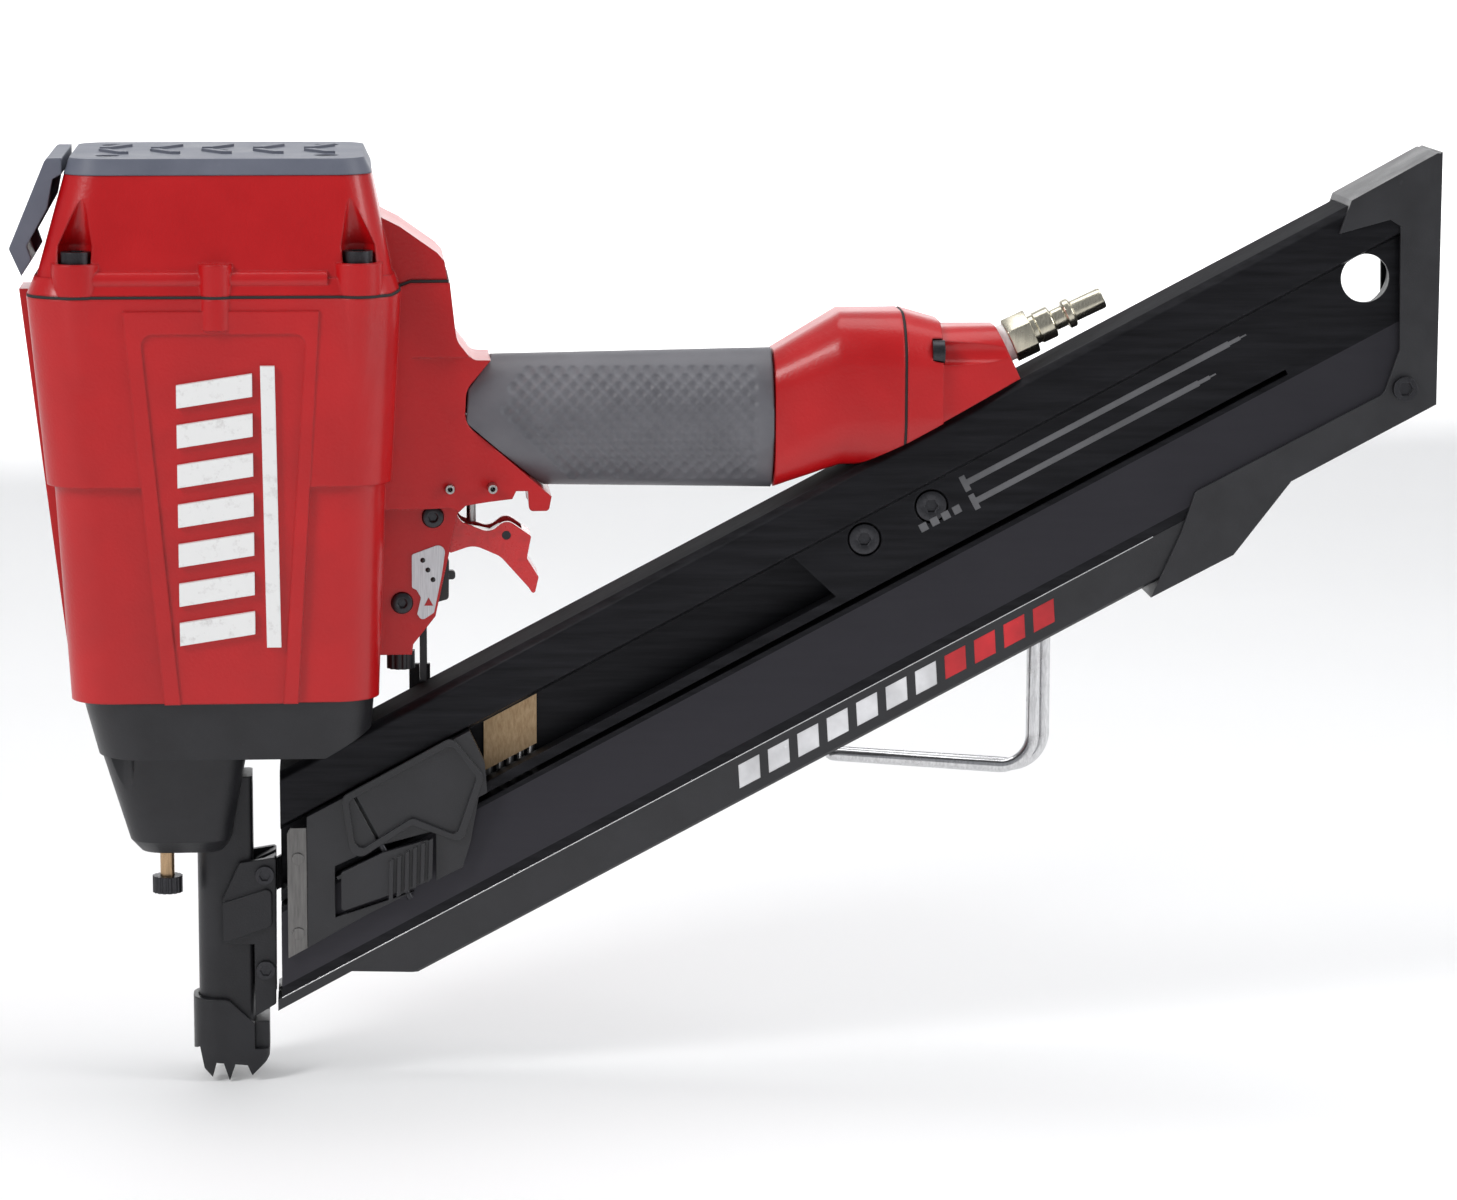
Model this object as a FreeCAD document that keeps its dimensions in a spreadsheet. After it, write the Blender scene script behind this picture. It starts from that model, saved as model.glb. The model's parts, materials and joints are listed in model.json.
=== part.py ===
import FreeCAD, Part
import math
import os
from FreeCAD import Placement, Rotation, Vector

# Pneumatic framing nailer, millimetres.
# Frame: origin at the muzzle on the drive axis, +Z up the drive axis,
# +X towards the handle's end, -Y is the side with the magazine's window.

doc = FreeCAD.newDocument("NailGun")
sheet = doc.addObject("Spreadsheet::Sheet", "Sizes")

driving = {
    "magazineAngle": 27.75,
    "magazineHalf": 16.0,
    "recessHalf": 12.5,
    "channelHalf": 2.6,
    "headSlotHalf": 4.6,
    "magazineRun": 560.0,
    "magazineTop": 79.8,
    "railLip": 62.0,
    "grooveLow": 35.5,
    "grooveHigh": 37.5,
    "coverTop": 6.7,
    "coverFloor": -8.4,
    "magazineFront": 19.0,
    "magazineRear": 431.0,
    "hangingHole": 8.75,
    "bodyFloor": 131.0,
    "shoulderHeight": 208.0,
    "seamHeight": 274.0,
    "gasketThick": 1.0,
    "headTop": 316.0,
    "boreRadius": 38.0,
    "sleeveOuter": 33.0,
    "sleeveInner": 30.0,
    "sleeveLength": 134.0,
    "pistonRadius": 29.6,
    "pistonThick": 12.0,
    "pistonRest": 250.0,
    "bladeRadius": 3.4,
    "bladeTip": 98.0,
    "driveBore": 4.0,
    "bumperThick": 14.0,
    "handleHeight": 224.0,
    "airRadius": 12.0,
    "neckWidth": 48.0,
    "bracketWidth": 28.0,
    "bracketGap": 20.0,
    "triggerWidth": 18.0,
    "triggerInside": 13.0,
    "leverWidth": 6.0,
    "pivotPin": 3.0,
    "leverPin": 1.6,
    "rollPin": 1.6,
    "runningGap": 0.05,
    "valveRadius": 8.5,
    "valveLength": 26.0,
    "stemRadius": 1.7,
    "plugAngle": 25.0,
    "wireRadius": 2.5,
    "nailLength": 50.0,
    "nailRadius": 1.45,
    "nailPitch": 3.75,
    "nailHead": 3.4,
    "linkThick": 2.8,
    "screwPitchX": 48.5,
    "screwPitchY": 45.0,
    "cornerBoss": 8.6,
    "panelRecess": 0.8,
    "nosepieceTop": 97.5,
    "footHeight": 16.0,
    "bracketPlate": 3.0,
    "tapeThick": 0.35,
}

for row, (alias, value) in enumerate(driving.items(), start=1):
    sheet.set(f"A{row}", alias)
    sheet.set(f"B{row}", str(value))
    sheet.setAlias(f"B{row}", alias)
doc.recompute()

subparts = []
upright = Vector(0, 0, 1)
across = Vector(0, 1, 0)
rearward = Vector(1, 0, 0)


def size(alias):
    return float(sheet.get(alias))


def keep(feature, label):
    feature.Label = label
    subparts.append(feature)
    return feature


# ---------------------------------------------------------------- sketch helpers

def outlineEdges(points):
    """Closed outline; a third value in a point rounds that corner."""
    count = len(points)
    corners = []
    for index, point in enumerate(points):
        here = Vector(point[0], point[1], 0)
        if len(point) < 3:
            corners.append((here, None, here))
            continue
        before = Vector(points[index - 1][0], points[index - 1][1], 0)
        after = Vector(points[(index + 1) % count][0], points[(index + 1) % count][1], 0)
        toBefore = (before - here).normalize()
        toAfter = (after - here).normalize()
        half = toBefore.getAngle(toAfter) / 2
        reach = point[2] / math.tan(half)
        inward = (toBefore + toAfter).normalize()
        middle = here + inward * (point[2] / math.sin(half) - point[2])
        corners.append((here + toBefore * reach, middle, here + toAfter * reach))
    edges = []
    for index, (start, middle, end) in enumerate(corners):
        if middle is not None:
            edges.append(Part.ArcOfCircle(start, middle, end))
        following = corners[(index + 1) % count][0]
        if end.distanceToPoint(following) > 1e-6:
            edges.append(Part.LineSegment(end, following))
    return edges


def ovalEdges(middle, halfHigh, halfWide):
    """Upright oval handle section, centred at the height given."""
    return [Part.Ellipse(Vector(0, middle + halfHigh, 0), Vector(halfWide, middle, 0),
                         Vector(0, middle, 0))]


def newBody(label):
    body = doc.addObject("PartDesign::Body", "Body" + label.title().replace("_", ""))
    return keep(body, label)


def originPlane(body, role):
    for feature in body.Origin.OriginFeatures:
        if feature.Role == role:
            return feature
    raise ValueError(role)


def sketchOn(body, role, geometry, shift=0.0, tilt=0.0):
    """Sketch on an origin plane, moved along its normal and tilted about its first axis."""
    sketch = body.newObject("Sketcher::SketchObject", body.Name + "Sketch")
    sketch.AttachmentSupport = [(originPlane(body, role), "")]
    sketch.MapMode = "FlatFace"
    sketch.AttachmentOffset = Placement(Vector(0, 0, shift), Rotation(rearward, tilt))
    sketch.addGeometry(geometry, False)
    return sketch


def pad(body, sketch, length, midplane=True, backward=False):
    """Pad whose length is a sheet cell's name or an expression on such names."""
    feature = body.newObject("PartDesign::Pad", body.Name + "Pad")
    feature.Profile = sketch
    feature.Midplane = midplane
    feature.Reversed = backward
    feature.setExpression("Length", length)
    return feature


def pocket(body, sketch, length, midplane=True, backward=False):
    feature = body.newObject("PartDesign::Pocket", body.Name + "Pocket")
    feature.Profile = sketch
    feature.Midplane = midplane
    feature.Reversed = backward
    feature.setExpression("Length", length)
    return feature


def loft(body, sections):
    feature = body.newObject("PartDesign::AdditiveLoft", body.Name + "Loft")
    feature.Profile = sections[0]
    feature.Sections = sections[1:]
    feature.Ruled = True
    return feature


def sidePad(body, points, length, shift=0.0):
    """Pad of a side-view outline (x, z), centred on y = -shift."""
    return pad(body, sketchOn(body, "XZ_Plane", outlineEdges(points), shift), length)


def sidePocket(body, points, length, shift=0.0):
    return pocket(body, sketchOn(body, "XZ_Plane", outlineEdges(points), shift), length)


def sideHole(body, centre, radius, length, shift=0.0):
    ring = Part.Circle(Vector(centre[0], centre[1], 0), upright, radius)
    return pocket(body, sketchOn(body, "XZ_Plane", [ring], shift), length)


def boreDown(body, centre, radius, top, length):
    """Round pocket downwards from height top; the length is an expression."""
    ring = Part.Circle(Vector(centre[0], centre[1], 0), upright, radius)
    return pocket(body, sketchOn(body, "XY_Plane", [ring], top), length, midplane=False)


def roundedRectangle(left, right, half, radius):
    return outlineEdges([(left, -half, radius), (right, -half, radius),
                         (right, half, radius), (left, half, radius)])


# ------------------------------------------------------------- primitive helpers

def rod(name, radius, length, base, direction=upright):
    """Cylinder; radius and length are expressions on the sheet or plain numbers."""
    piece = doc.addObject("Part::Cylinder", name)
    piece.setExpression("Radius", str(radius))
    piece.setExpression("Height", str(length))
    piece.Placement = Placement(base, Rotation(upright, direction))
    return piece


def block(name, lengths, base, turn=None):
    piece = doc.addObject("Part::Box", name)
    for edge, value in zip(("Length", "Width", "Height"), lengths):
        piece.setExpression(edge, str(value))
    piece.Placement = Placement(base, turn or Rotation())
    return piece


def frustum(name, low, high, length, base, direction=upright):
    piece = doc.addObject("Part::Cone", name)
    piece.setExpression("Radius1", str(low))
    piece.setExpression("Radius2", str(high))
    piece.setExpression("Height", str(length))
    piece.Placement = Placement(base, Rotation(upright, direction))
    return piece


def ringSolid(name, large, small, base, direction=upright):
    piece = doc.addObject("Part::Torus", name)
    piece.setExpression("Radius1", str(large))
    piece.setExpression("Radius2", str(small))
    piece.Placement = Placement(base, Rotation(upright, direction))
    return piece


def cut(name, base, tool):
    piece = doc.addObject("Part::Cut", name)
    piece.Base = base
    piece.Tool = tool
    return piece


def fuse(name, pieces):
    piece = doc.addObject("Part::MultiFuse", name)
    piece.Shapes = pieces
    piece.Refine = True
    return piece


def group(name, pieces):
    piece = doc.addObject("Part::Compound", name)
    piece.Links = pieces
    return piece


def hexagon(name, flats, length, base, direction, hollow=None):
    """Hexagonal prism by its width across flats."""
    piece = doc.addObject("Part::Prism", name)
    piece.Polygon = 6
    piece.setExpression("Circumradius", f"{flats} / sqrt(3)")
    piece.setExpression("Height", str(length))
    piece.Placement = Placement(base, Rotation(upright, direction))
    if hollow is None:
        return piece
    return cut(name + "Bored", piece, rod(name + "Bore", hollow, length, base, direction))


def socketScrew(name, headRadius, headHigh, shankRadius, shankLong, seat, outward):
    """Cap screw: the head stands outward from its seat, with a hexagon socket."""
    head = rod(name + "Head", headRadius, headHigh, seat, outward)
    shank = rod(name + "Shank", shankRadius, shankLong, seat - outward * shankLong, outward)
    socketDeep = headHigh * 0.6
    socketSeat = seat + outward * (headHigh - socketDeep)
    socket = hexagon(name + "Socket", headRadius * 1.05, socketDeep + 0.5, socketSeat, outward)
    return cut(name, fuse(name + "Blank", [head, shank]), socket)


def coilSpring(label, meanRadius, wire, low, high, turns, centre):
    """Closed compression spring with its axis upright."""
    # each half turn is half a ring, leaning so that the next one meets it squarely
    step = (high - low - 2 * wire) / (2 * turns)
    lean = math.atan(step / (2 * meanRadius))
    halves = []
    for index in range(2 * turns):
        half = doc.addObject("Part::Torus", f"{label.title().replace('_', '')}Half{index}")
        half.setExpression("Radius1", f"{meanRadius / math.cos(lean)}")
        half.setExpression("Radius2", f"{wire}")
        half.Angle3 = 180
        turn = Rotation(across, math.degrees(lean))
        if index % 2:
            turn = Rotation(across, -math.degrees(lean)).multiply(Rotation(upright, 180))
        half.Placement = Placement(Vector(centre[0], centre[1], low + wire + (index + 0.5) * step), turn)
        halves.append(half)
    return keep(fuse("Spring" + label.title().replace("_", ""), halves), label)


# ------------------------------------------------------------- magazine geometry

tilt = math.radians(size("magazineAngle"))
along = Vector(math.cos(tilt), 0, math.sin(tilt))
rising = Vector(-math.sin(tilt), 0, math.cos(tilt))


def onMagazine(run, rise):
    """Side-view point from the distance along the magazine and the height across it."""
    return (run * math.cos(tilt) - rise * math.sin(tilt),
            run * math.sin(tilt) + rise * math.cos(tilt))


def heightAt(x, rise):
    """Height of the line at that rise, where it passes x."""
    return (rise + x * math.sin(tilt)) / math.cos(tilt)


def magazineSection(body, points):
    """Extrusion along the magazine of a section given as (y, rise)."""
    sketch = sketchOn(body, "YZ_Plane", outlineEdges(points), 0.0, 0.0)
    sketch.AttachmentOffset = Placement(Vector(0, 0, 0), Rotation(rearward, -size("magazineAngle")))
    return pad(body, sketch, "Sizes.magazineRun", midplane=False)


def trimEnds(body, front, rear):
    """Cut both ends upright at the given x."""
    farAway = size("magazineRun") + 100
    sidePocket(body, [(front - farAway, -farAway), (front, -farAway), (front, farAway),
                      (front - farAway, farAway)], "Sizes.magazineHalf * 4")
    sidePocket(body, [(rear, -farAway), (rear + farAway, -farAway), (rear + farAway, farAway),
                      (rear, farAway)], "Sizes.magazineHalf * 4")


def makeMagazineBody():
    body = newBody("magazine_body")
    half = size("magazineHalf")
    recess = size("recessHalf")
    lip = size("railLip")
    top = size("magazineTop")
    low = size("coverTop")
    slot = size("headSlotHalf")
    bore = size("channelHalf")
    magazineSection(body, [
        (-half, low), (-bore, low), (-bore, 70.5), (-slot, 70.5), (-slot, 75.5), (slot, 75.5),
        (slot, 70.5), (bore, 70.5), (bore, low), (half, low), (half, 10), (recess + 0.5, 34),
        (recess, 38), (recess, lip - 0.7), (half, lip + 0.7), (half, top - 2.5, 1.2),
        (half - 2.5, top), (-half + 2.5, top), (-half, top - 2.5, 1.2), (-half, lip + 0.7),
        (-recess, lip - 0.7), (-recess, 38), (-recess - 0.5, 34), (-half, 10)])
    trimEnds(body, size("magazineFront"), size("magazineRear"))
    # window that shows the nails, and the full-length groove for the pawl
    nearWall = half - bore
    wallMiddle = (half + bore) / 2
    windowEnd = 217.0
    sidePocket(body, [onMagazine(-10, 41), onMagazine(windowEnd + 52, 41),
                      onMagazine(windowEnd + 45, 61), onMagazine(-10, 61)],
               f"{nearWall}", wallMiddle)
    sidePocket(body, [onMagazine(-10, size("grooveLow")), onMagazine(450, size("grooveLow")),
                      onMagazine(450, size("grooveHigh")), onMagazine(-10, size("grooveHigh"))],
               f"{nearWall}", wallMiddle)
    # hanging hole through one wall, wide open in the other
    holePlace = (409.0, 275.5)
    sideHole(body, holePlace, size("hangingHole"), "Sizes.magazineHalf * 4")
    widened = sketchOn(body, "XZ_Plane", [Part.Circle(Vector(*holePlace, 0), upright, 13.0)], 10.0)
    pocket(body, widened, "Sizes.magazineHalf * 3", midplane=False, backward=False)
    # seats for the bracket screws
    for place in boltPlaces:
        sideHole(body, place, 6.2, "5", recess)
        sideHole(body, place, 3.0, "16", recess - 3)
        sideHole(body, place, 3.0, "16", -recess + 3)
    sideHole(body, rearScrewPlace, 2.1, "Sizes.magazineHalf * 4")
    return body


boltPlaces = [(229.1, 182.3), (253.2, 194.1)]
rearScrewPlace = (423.2, 236.2)


def makeLowerCover():
    body = newBody("magazine_lower_cover")
    half = size("magazineHalf")
    bore = size("channelHalf")
    top = size("coverTop")
    floor = size("coverFloor")
    magazineSection(body, [(-half, top), (-half, floor + 1), (-half + 1, floor), (half - 1, floor),
                           (half, floor + 1), (half, top), (bore, top), (bore, 0.5), (-bore, 0.5),
                           (-bore, top)])
    trimEnds(body, size("magazineFront") - 1.5, 352.0)
    # the front is cut away to a shallow lip ahead of the skid
    sidePocket(body, [(0, -40), (70, -40), (68, heightAt(68, floor)), (44.1, 27), (0, 3.4)],
               "Sizes.magazineHalf * 4")
    return body


def makeRearCap():
    body = newBody("magazine_rear_cap")
    rear = size("magazineRear") + 4.0
    wide = "Sizes.magazineHalf * 2 + 3.2"
    outer = [(398.3, 291.9), (402.5, 303.8), (rear, 321.6, 1.5), (rear, 230.3), (382.8, 202.8),
             (362.3, 176.2), (332.5, 160.9), (343.1, 184.5), (348.0, 199.3, 3), (415.8, 234.3, 5),
             (421.2, 250.3, 3), (420.4, 294.5), (416.8, 296.9)]
    sidePad(body, outer, wide)
    # hollow for the magazine's end and for the lower cover
    sidePocket(body, [onMagazine(330, size("coverTop")),
                      (size("magazineRear"), heightAt(size("magazineRear"), size("coverTop"))),
                      (size("magazineRear"), heightAt(size("magazineRear"), size("magazineTop"))),
                      onMagazine(330, size("magazineTop"))], "Sizes.magazineHalf * 2")
    sidePocket(body, [onMagazine(330, size("coverTop")), onMagazine(330, size("coverFloor")),
                      (352.0, heightAt(352.0, size("coverFloor"))),
                      (352.0, heightAt(352.0, size("coverTop")))], "Sizes.magazineHalf * 2")
    sideHole(body, rearScrewPlace, 2.1, wide)
    sidePad(body, [(rear - 4, 228.2), (rear, 230.3), (rear, 321.0), (rear - 4, 318.5)], wide)
    return body


def makeNails():
    """Paper-taped strip hanging by its heads in the channel."""
    radius = size("nailRadius")
    long = size("nailLength")
    pieces = []
    for index in range(5):
        x = 94.5 + index * size("nailPitch")
        headTop = heightAt(x, 73.2)
        point = 4.0
        shank = rod(f"NailShank{index}", "Sizes.nailRadius", f"Sizes.nailLength - {point} - 1.2",
                    Vector(x, 0, headTop - long + point))
        tip = frustum(f"NailTip{index}", "0.2", "Sizes.nailRadius", point,
                      Vector(x, 0, headTop - long))
        head = rod(f"NailHeadDisc{index}", "Sizes.nailHead", "1.2", Vector(x, 0, headTop - 1.2))
        clip = block(f"NailClip{index}", (10, 10, 4), Vector(x + radius + 0.6, -5, headTop - 2))
        pieces.append(fuse(f"Nail{index}", [shank, tip, cut(f"NailHead{index}", head, clip)]))
    keep(group("NailStrip", pieces), "nails")


def makePaperTape():
    body = newBody("paper_tape")
    radius = size("nailRadius")
    left = 94.5 - radius - 0.6
    right = 94.5 + 4 * size("nailPitch") + radius + 0.6
    low = 43.0
    high = 64.0
    outline = [(left, heightAt(left, low)), (right, heightAt(right, low)),
               (right, heightAt(right, high)), (left, heightAt(left, high))]
    thick = size("tapeThick")
    sidePad(body, outline, f"2 * ({radius} + 0.1 + Sizes.tapeThick)")
    inner = [(left + thick, heightAt(left, low) - 5), (right - thick, heightAt(right, low) - 5),
             (right - thick, heightAt(right, high) + 5), (left + thick, heightAt(left, high) + 5)]
    sidePocket(body, inner, f"2 * ({radius} + 0.1)")
    return body


# --------------------------------------------------------------- follower (pusher)

pusherFace = 19.0
latchBack = 18.6
latchOutline = [(40.6, 50.2, 1), (72.4, 61.0, 1), (72.5, 76.4, 1), (55.7, 71.6, 1), (40.6, 64.4, 1)]


def makePusherBody():
    body = newBody("pusher_body")
    outline = [(28.5, heightAt(28.5, 61.5)), onMagazine(130.5, 61.5), (92.3, 103.5, 3),
               (87.1, 74.9, 2), (84.2, 65.4), (49.9, 48.6), (28.5, 36.6)]
    # over the recess the follower is thick, over the sloped band it is thin
    upper = [(28.5, heightAt(28.5, 61.5)), onMagazine(130.5, 61.5), (92.3, 103.5, 3),
             onMagazine(125.5, 38.6), (28.5, heightAt(28.5, 38.6))]
    thick = pusherFace - 13.0
    thin = pusherFace - 16.4
    sidePad(body, outline, f"{thin}", 16.4 + thin / 2)
    sidePad(body, upper, f"{thick}", 13.0 + thick / 2)
    # opening under the release rocker, with room for its swing and its tongue
    grown = [(38.4, 47.6), (74.6, 59.4), (74.6, 79.0), (55.2, 74.0), (38.4, 66.4)]
    sidePocket(body, grown, f"{thick + 4}", 16.0)
    # raised rim round the grip pad
    rim = [(40.9, 92.0, 3), (80.5, 113.3, 3), (92.0, 99.0, 4), (84.0, 74.6, 3), (76.0, 77.6),
           (66.0, 81.4, 2), (44.5, 67.5, 4)]
    pan = [(43.4, 90.4, 2), (80.6, 110.6, 3), (89.4, 98.6, 3), (82.0, 77.4, 2), (66.2, 84.0, 2),
           (46.0, 71.4, 3)]
    sidePad(body, rim, "1.6", pusherFace + 0.8)
    sidePocket(body, pan, "2.2", pusherFace + 0.9)
    rodThrough(body, 0.0)
    return body


def rodThrough(body, gap):
    """Hole along the rising direction for the release pin."""
    sketch = sketchOn(body, "XY_Plane", [Part.Circle(Vector(0, 0, 0), upright, 1.2 + gap)])
    pivot = onMagazine(83.0, 0.0)
    sketch.AttachmentOffset = Placement(Vector(pivot[0], -17.7, pivot[1]),
                                        Rotation(upright, rising))
    feature = pocket(body, sketch, "70", midplane=False, backward=True)
    return feature


def makePusherPlate():
    body = newBody("pusher_plate")
    plate = [(21.4, 32.6), (28.4, 36.4), (28.4, 80.4), (22.6, 80.4), (21.4, 78)]
    sidePad(body, plate, "1.6", 17.4)
    for place in rivetPlaces:
        sideHole(body, place, 1.6, "1.6", 17.4)
    return body


rivetPlaces = [(25.2, 69.1), (25.2, 41.7)]


def makePusherRivets():
    rivets = []
    for index, place in enumerate(rivetPlaces):
        shank = rod(f"RivetShank{index}", 1.6, 2.0, Vector(place[0], -18.2, place[1]), across)
        dome = rod(f"RivetDome{index}", 2.2, 0.7, Vector(place[0], -18.9, place[1]), across)
        rivets.append(fuse(f"Rivet{index}", [shank, dome]))
    keep(group("PusherRivets", rivets), "pusher_rivets")


def makeRelease():
    """Ribbed rocker whose tongue reaches through the groove to push the strip."""
    body = newBody("feed_release")
    sidePad(body, latchOutline, "2.6", latchBack + 1.3)
    for index in range(6):
        run = 76.0 + index * 3.2
        left = onMagazine(run, 21.0)
        top = onMagazine(run + 7.2, 33.8)
        rib = [left, (left[0] + 1.5, left[1] + 0.8), (top[0] + 1.5, top[1] + 0.8), top]
        sidePad(body, rib, "1.4", latchBack + 3.2)
    tongueLow = size("grooveLow") + 0.4
    tongueHigh = size("grooveHigh") - 0.4
    tongue = [onMagazine(63.5, tongueLow), onMagazine(67.5, tongueLow), onMagazine(67.5, tongueHigh),
              onMagazine(63.5, tongueHigh)]
    deep = latchBack + 0.4 - 4.6
    sidePad(body, tongue, f"{deep}", 4.6 + deep / 2)
    hub = [onMagazine(80.2, 20.5), onMagazine(85.8, 20.5), onMagazine(85.8, 34.0), onMagazine(80.2, 34.0)]
    sidePad(body, hub, "3.0", 17.5)
    rodThrough(body, size("runningGap"))
    return body


def makeReleasePin():
    low = onMagazine(83.0, 17.4)
    pin = rod("ReleasePin", 1.2, 23.0, Vector(low[0], -17.7, low[1]), rising)
    keep(pin, "release_pin")


# ------------------------------------------------------------------ head castings

def seamLine(lift=0.0):
    """Upper edge of the housing seen from the side, stepped up over the rear boss."""
    seam = size("seamHeight") + lift
    return [(-80, seam), (60, seam), (67, seam + 2.5), (90, seam + 2.5)]


def cutSide(body, points):
    sidePocket(body, points, "160")


def makeHousing():
    body = newBody("housing")
    floor = size("bodyFloor")
    shoulder = size("shoulderHeight")
    seam = size("seamHeight")
    loft(body, [sketchOn(body, "XY_Plane", roundedRectangle(-53.5, 54.7, 44.5, 15), floor),
                sketchOn(body, "XY_Plane", roundedRectangle(-58.0, 57.5, 47.5, 15), shoulder + 1)])
    loft(body, [sketchOn(body, "XY_Plane", roundedRectangle(-60.5, 59.5, 49.7, 16), shoulder),
                sketchOn(body, "XY_Plane", roundedRectangle(-66.5, 63.5, 52.0, 16), seam + 3)])
    addBosses(body, 232.0, seam + 3)
    sideBoss(body, 263.0, seam + 3)
    # front rib strip
    sidePad(body, [(-40, seam), (-70.3, seam), (-53.8, floor), (-40, floor)], "24")
    # flat side panels that lean out upwards
    for side in (1, -1):
        panel = outlineEdges([(-20.4, floor), (26.3, floor), (35.1, 270.0), (-32.6, 270.0)])
        sketch = sketchOn(body, "XZ_Plane", panel, side * panelShift, side * panelLean)
        pad(body, sketch, "9", midplane=False, backward=side > 0)
        recess = outlineEdges([(-14.6, floor - 2), (21.0, floor - 2), (30.4, 261.8, 4), (-26.6, 261.8, 4)])
        sketch = sketchOn(body, "XZ_Plane", recess, side * (panelShift + 1.0), side * panelLean)
        pocket(body, sketch, "1.0 + Sizes.panelRecess", midplane=False, backward=side < 0)
    # neck behind the head and its underside round the trigger valve
    sidePad(body, [(30, seam + 6), (80.4, seam + 6), (83.0, 256, 8), (89, 248.4, 4), (95.2, 248.2),
                   (86.4, 238, 8), (85.8, 226, 8), (116.6, 199.4), (115.6, 194.2, 1.5),
                   (108.6, 194.2, 1.5), (108.2, 201.4), (104.0, 201.4), (102.6, 198.6), (86, 196.6),
                   (83.6, 194.4), (80, 196), (40, 196)], "Sizes.neckWidth")
    # the neck narrows in plan towards the grip
    for side in (-1, 1):
        flank = [(64, side * 24.5), (94, side * 17.0), (125, side * 17.0), (125, side * 60), (64, side * 60)]
        pocket(body, sketchOn(body, "XY_Plane", outlineEdges(flank), 100), "300", midplane=True)
    # handle core, then the flare to the end face
    loft(body, [sketchOn(body, "YZ_Plane", ovalEdges(225.0, 19.6, 15.4), 96.0),
                sketchOn(body, "YZ_Plane", ovalEdges(225.4, 21.6, 16.4), 200.0)])
    loft(body, [sketchOn(body, "YZ_Plane", handleRing(24.6, 19.4, 225.6), 196.4),
                sketchOn(body, "YZ_Plane", handleRing(27.5, 25.0, 236.6), 220.0),
                sketchOn(body, "YZ_Plane", handleRing(27.6, 26.0, 236.6), 241.8)])
    cutSide(body, [(150, 0), (300, 0), (300, heightAt(300, size("magazineTop") + 0.3)),
                   (150, heightAt(150, size("magazineTop") + 0.3))])
    # trigger bracket: a block with a slot between its two walls
    sidePad(body, [(50, 205), (50, 142.2), (66.6, 142.3), (67.1, 146.0), (75.1, 156.1), (83.2, 193.0),
                   (86.0, 198.0), (86, 205)], "Sizes.bracketWidth")
    slotFront = 57.0
    sidePocket(body, [(slotFront, 100), (140, 100), (140, 196.6), (85.5, 196.6), (84.0, 198.8),
                      (slotFront + 3, 198.8), (slotFront, 190)], "Sizes.bracketGap")
    # everything above the seam belongs to the head cap
    line = seamLine()
    cutSide(body, line + [(90, 330), (-80, 330)])
    # cylinder bore, handle air way, valve pocket and pin holes
    boreDown(body, (0, 0), size("boreRadius"), 300, "300")
    ring = Part.Circle(Vector(0, size("handleHeight"), 0), upright, size("airRadius"))
    pocket(body, sketchOn(body, "YZ_Plane", [ring], 250), "230", midplane=False)
    boreDown(body, (valveX, 0), size("valveRadius"), 224.5, "60")
    for place in (triggerPivot, selectorPivot):
        sideHole(body, place, size("pivotPin"), "60")
    for place in rollPinPlaces:
        sideHole(body, place, size("rollPin"), "60")
    # tapped holes for the head, nose and end-cap screws
    for x, y in cornerPlaces:
        boreDown(body, (x, y), 3.0, 300, "70")
    for x, y in noseBoltPlaces:
        boreDown(body, (x, y), 3.0, 146, "40")
    for y, z in endScrewPlaces:
        hole = Part.Circle(Vector(y, z, 0), upright, 2.6)
        pocket(body, sketchOn(body, "YZ_Plane", [hole], 260), "40", midplane=False)
    return body


def addBosses(body, low, high):
    """Columns round the corner screws, tapering away downwards."""
    radius = size("cornerBoss")
    for x, y in cornerPlaces:
        foot = Part.Circle(Vector(x * 0.965, y * 0.945, 0), upright, radius - 1.0)
        top = Part.Circle(Vector(x, y, 0), upright, radius)
        loft(body, [sketchOn(body, "XY_Plane", [foot], low), sketchOn(body, "XY_Plane", [top], high)])


def sideBoss(body, low, high):
    """Half-round lug at the middle of each flank."""
    for side in (-1, 1):
        ring = Part.Circle(Vector(-0.7, side * 48.6, 0), upright, 5.8)
        pad(body, sketchOn(body, "XY_Plane", [ring], low), f"{high - low}", midplane=False)


def handleRing(halfHigh, halfWide, middle):
    """Rounded handle section as (y, z)."""
    corner = min(halfHigh, halfWide) * 0.72
    return outlineEdges([(-halfWide, middle - halfHigh, corner), (halfWide, middle - halfHigh, corner),
                         (halfWide, middle + halfHigh, corner), (-halfWide, middle + halfHigh, corner)])


panelShift = 40.95
panelLean = 2.47
valveX = 88.4
triggerPivot = (74.4, 192.0)
selectorPivot = (63.2, 161.1)
rollPinPlaces = [(80.4, 203.0), (95.5, 203.0)]
cornerPlaces = [(sx * size("screwPitchX"), sy * size("screwPitchY")) for sx in (-1, 1) for sy in (-1, 1)]
noseBoltPlaces = [(sx * 37.5, sy * 28.0) for sx in (-1, 1) for sy in (-1, 1)]
endScrewPlaces = [(-19.5, 250.5), (19.5, 250.5)]


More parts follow.
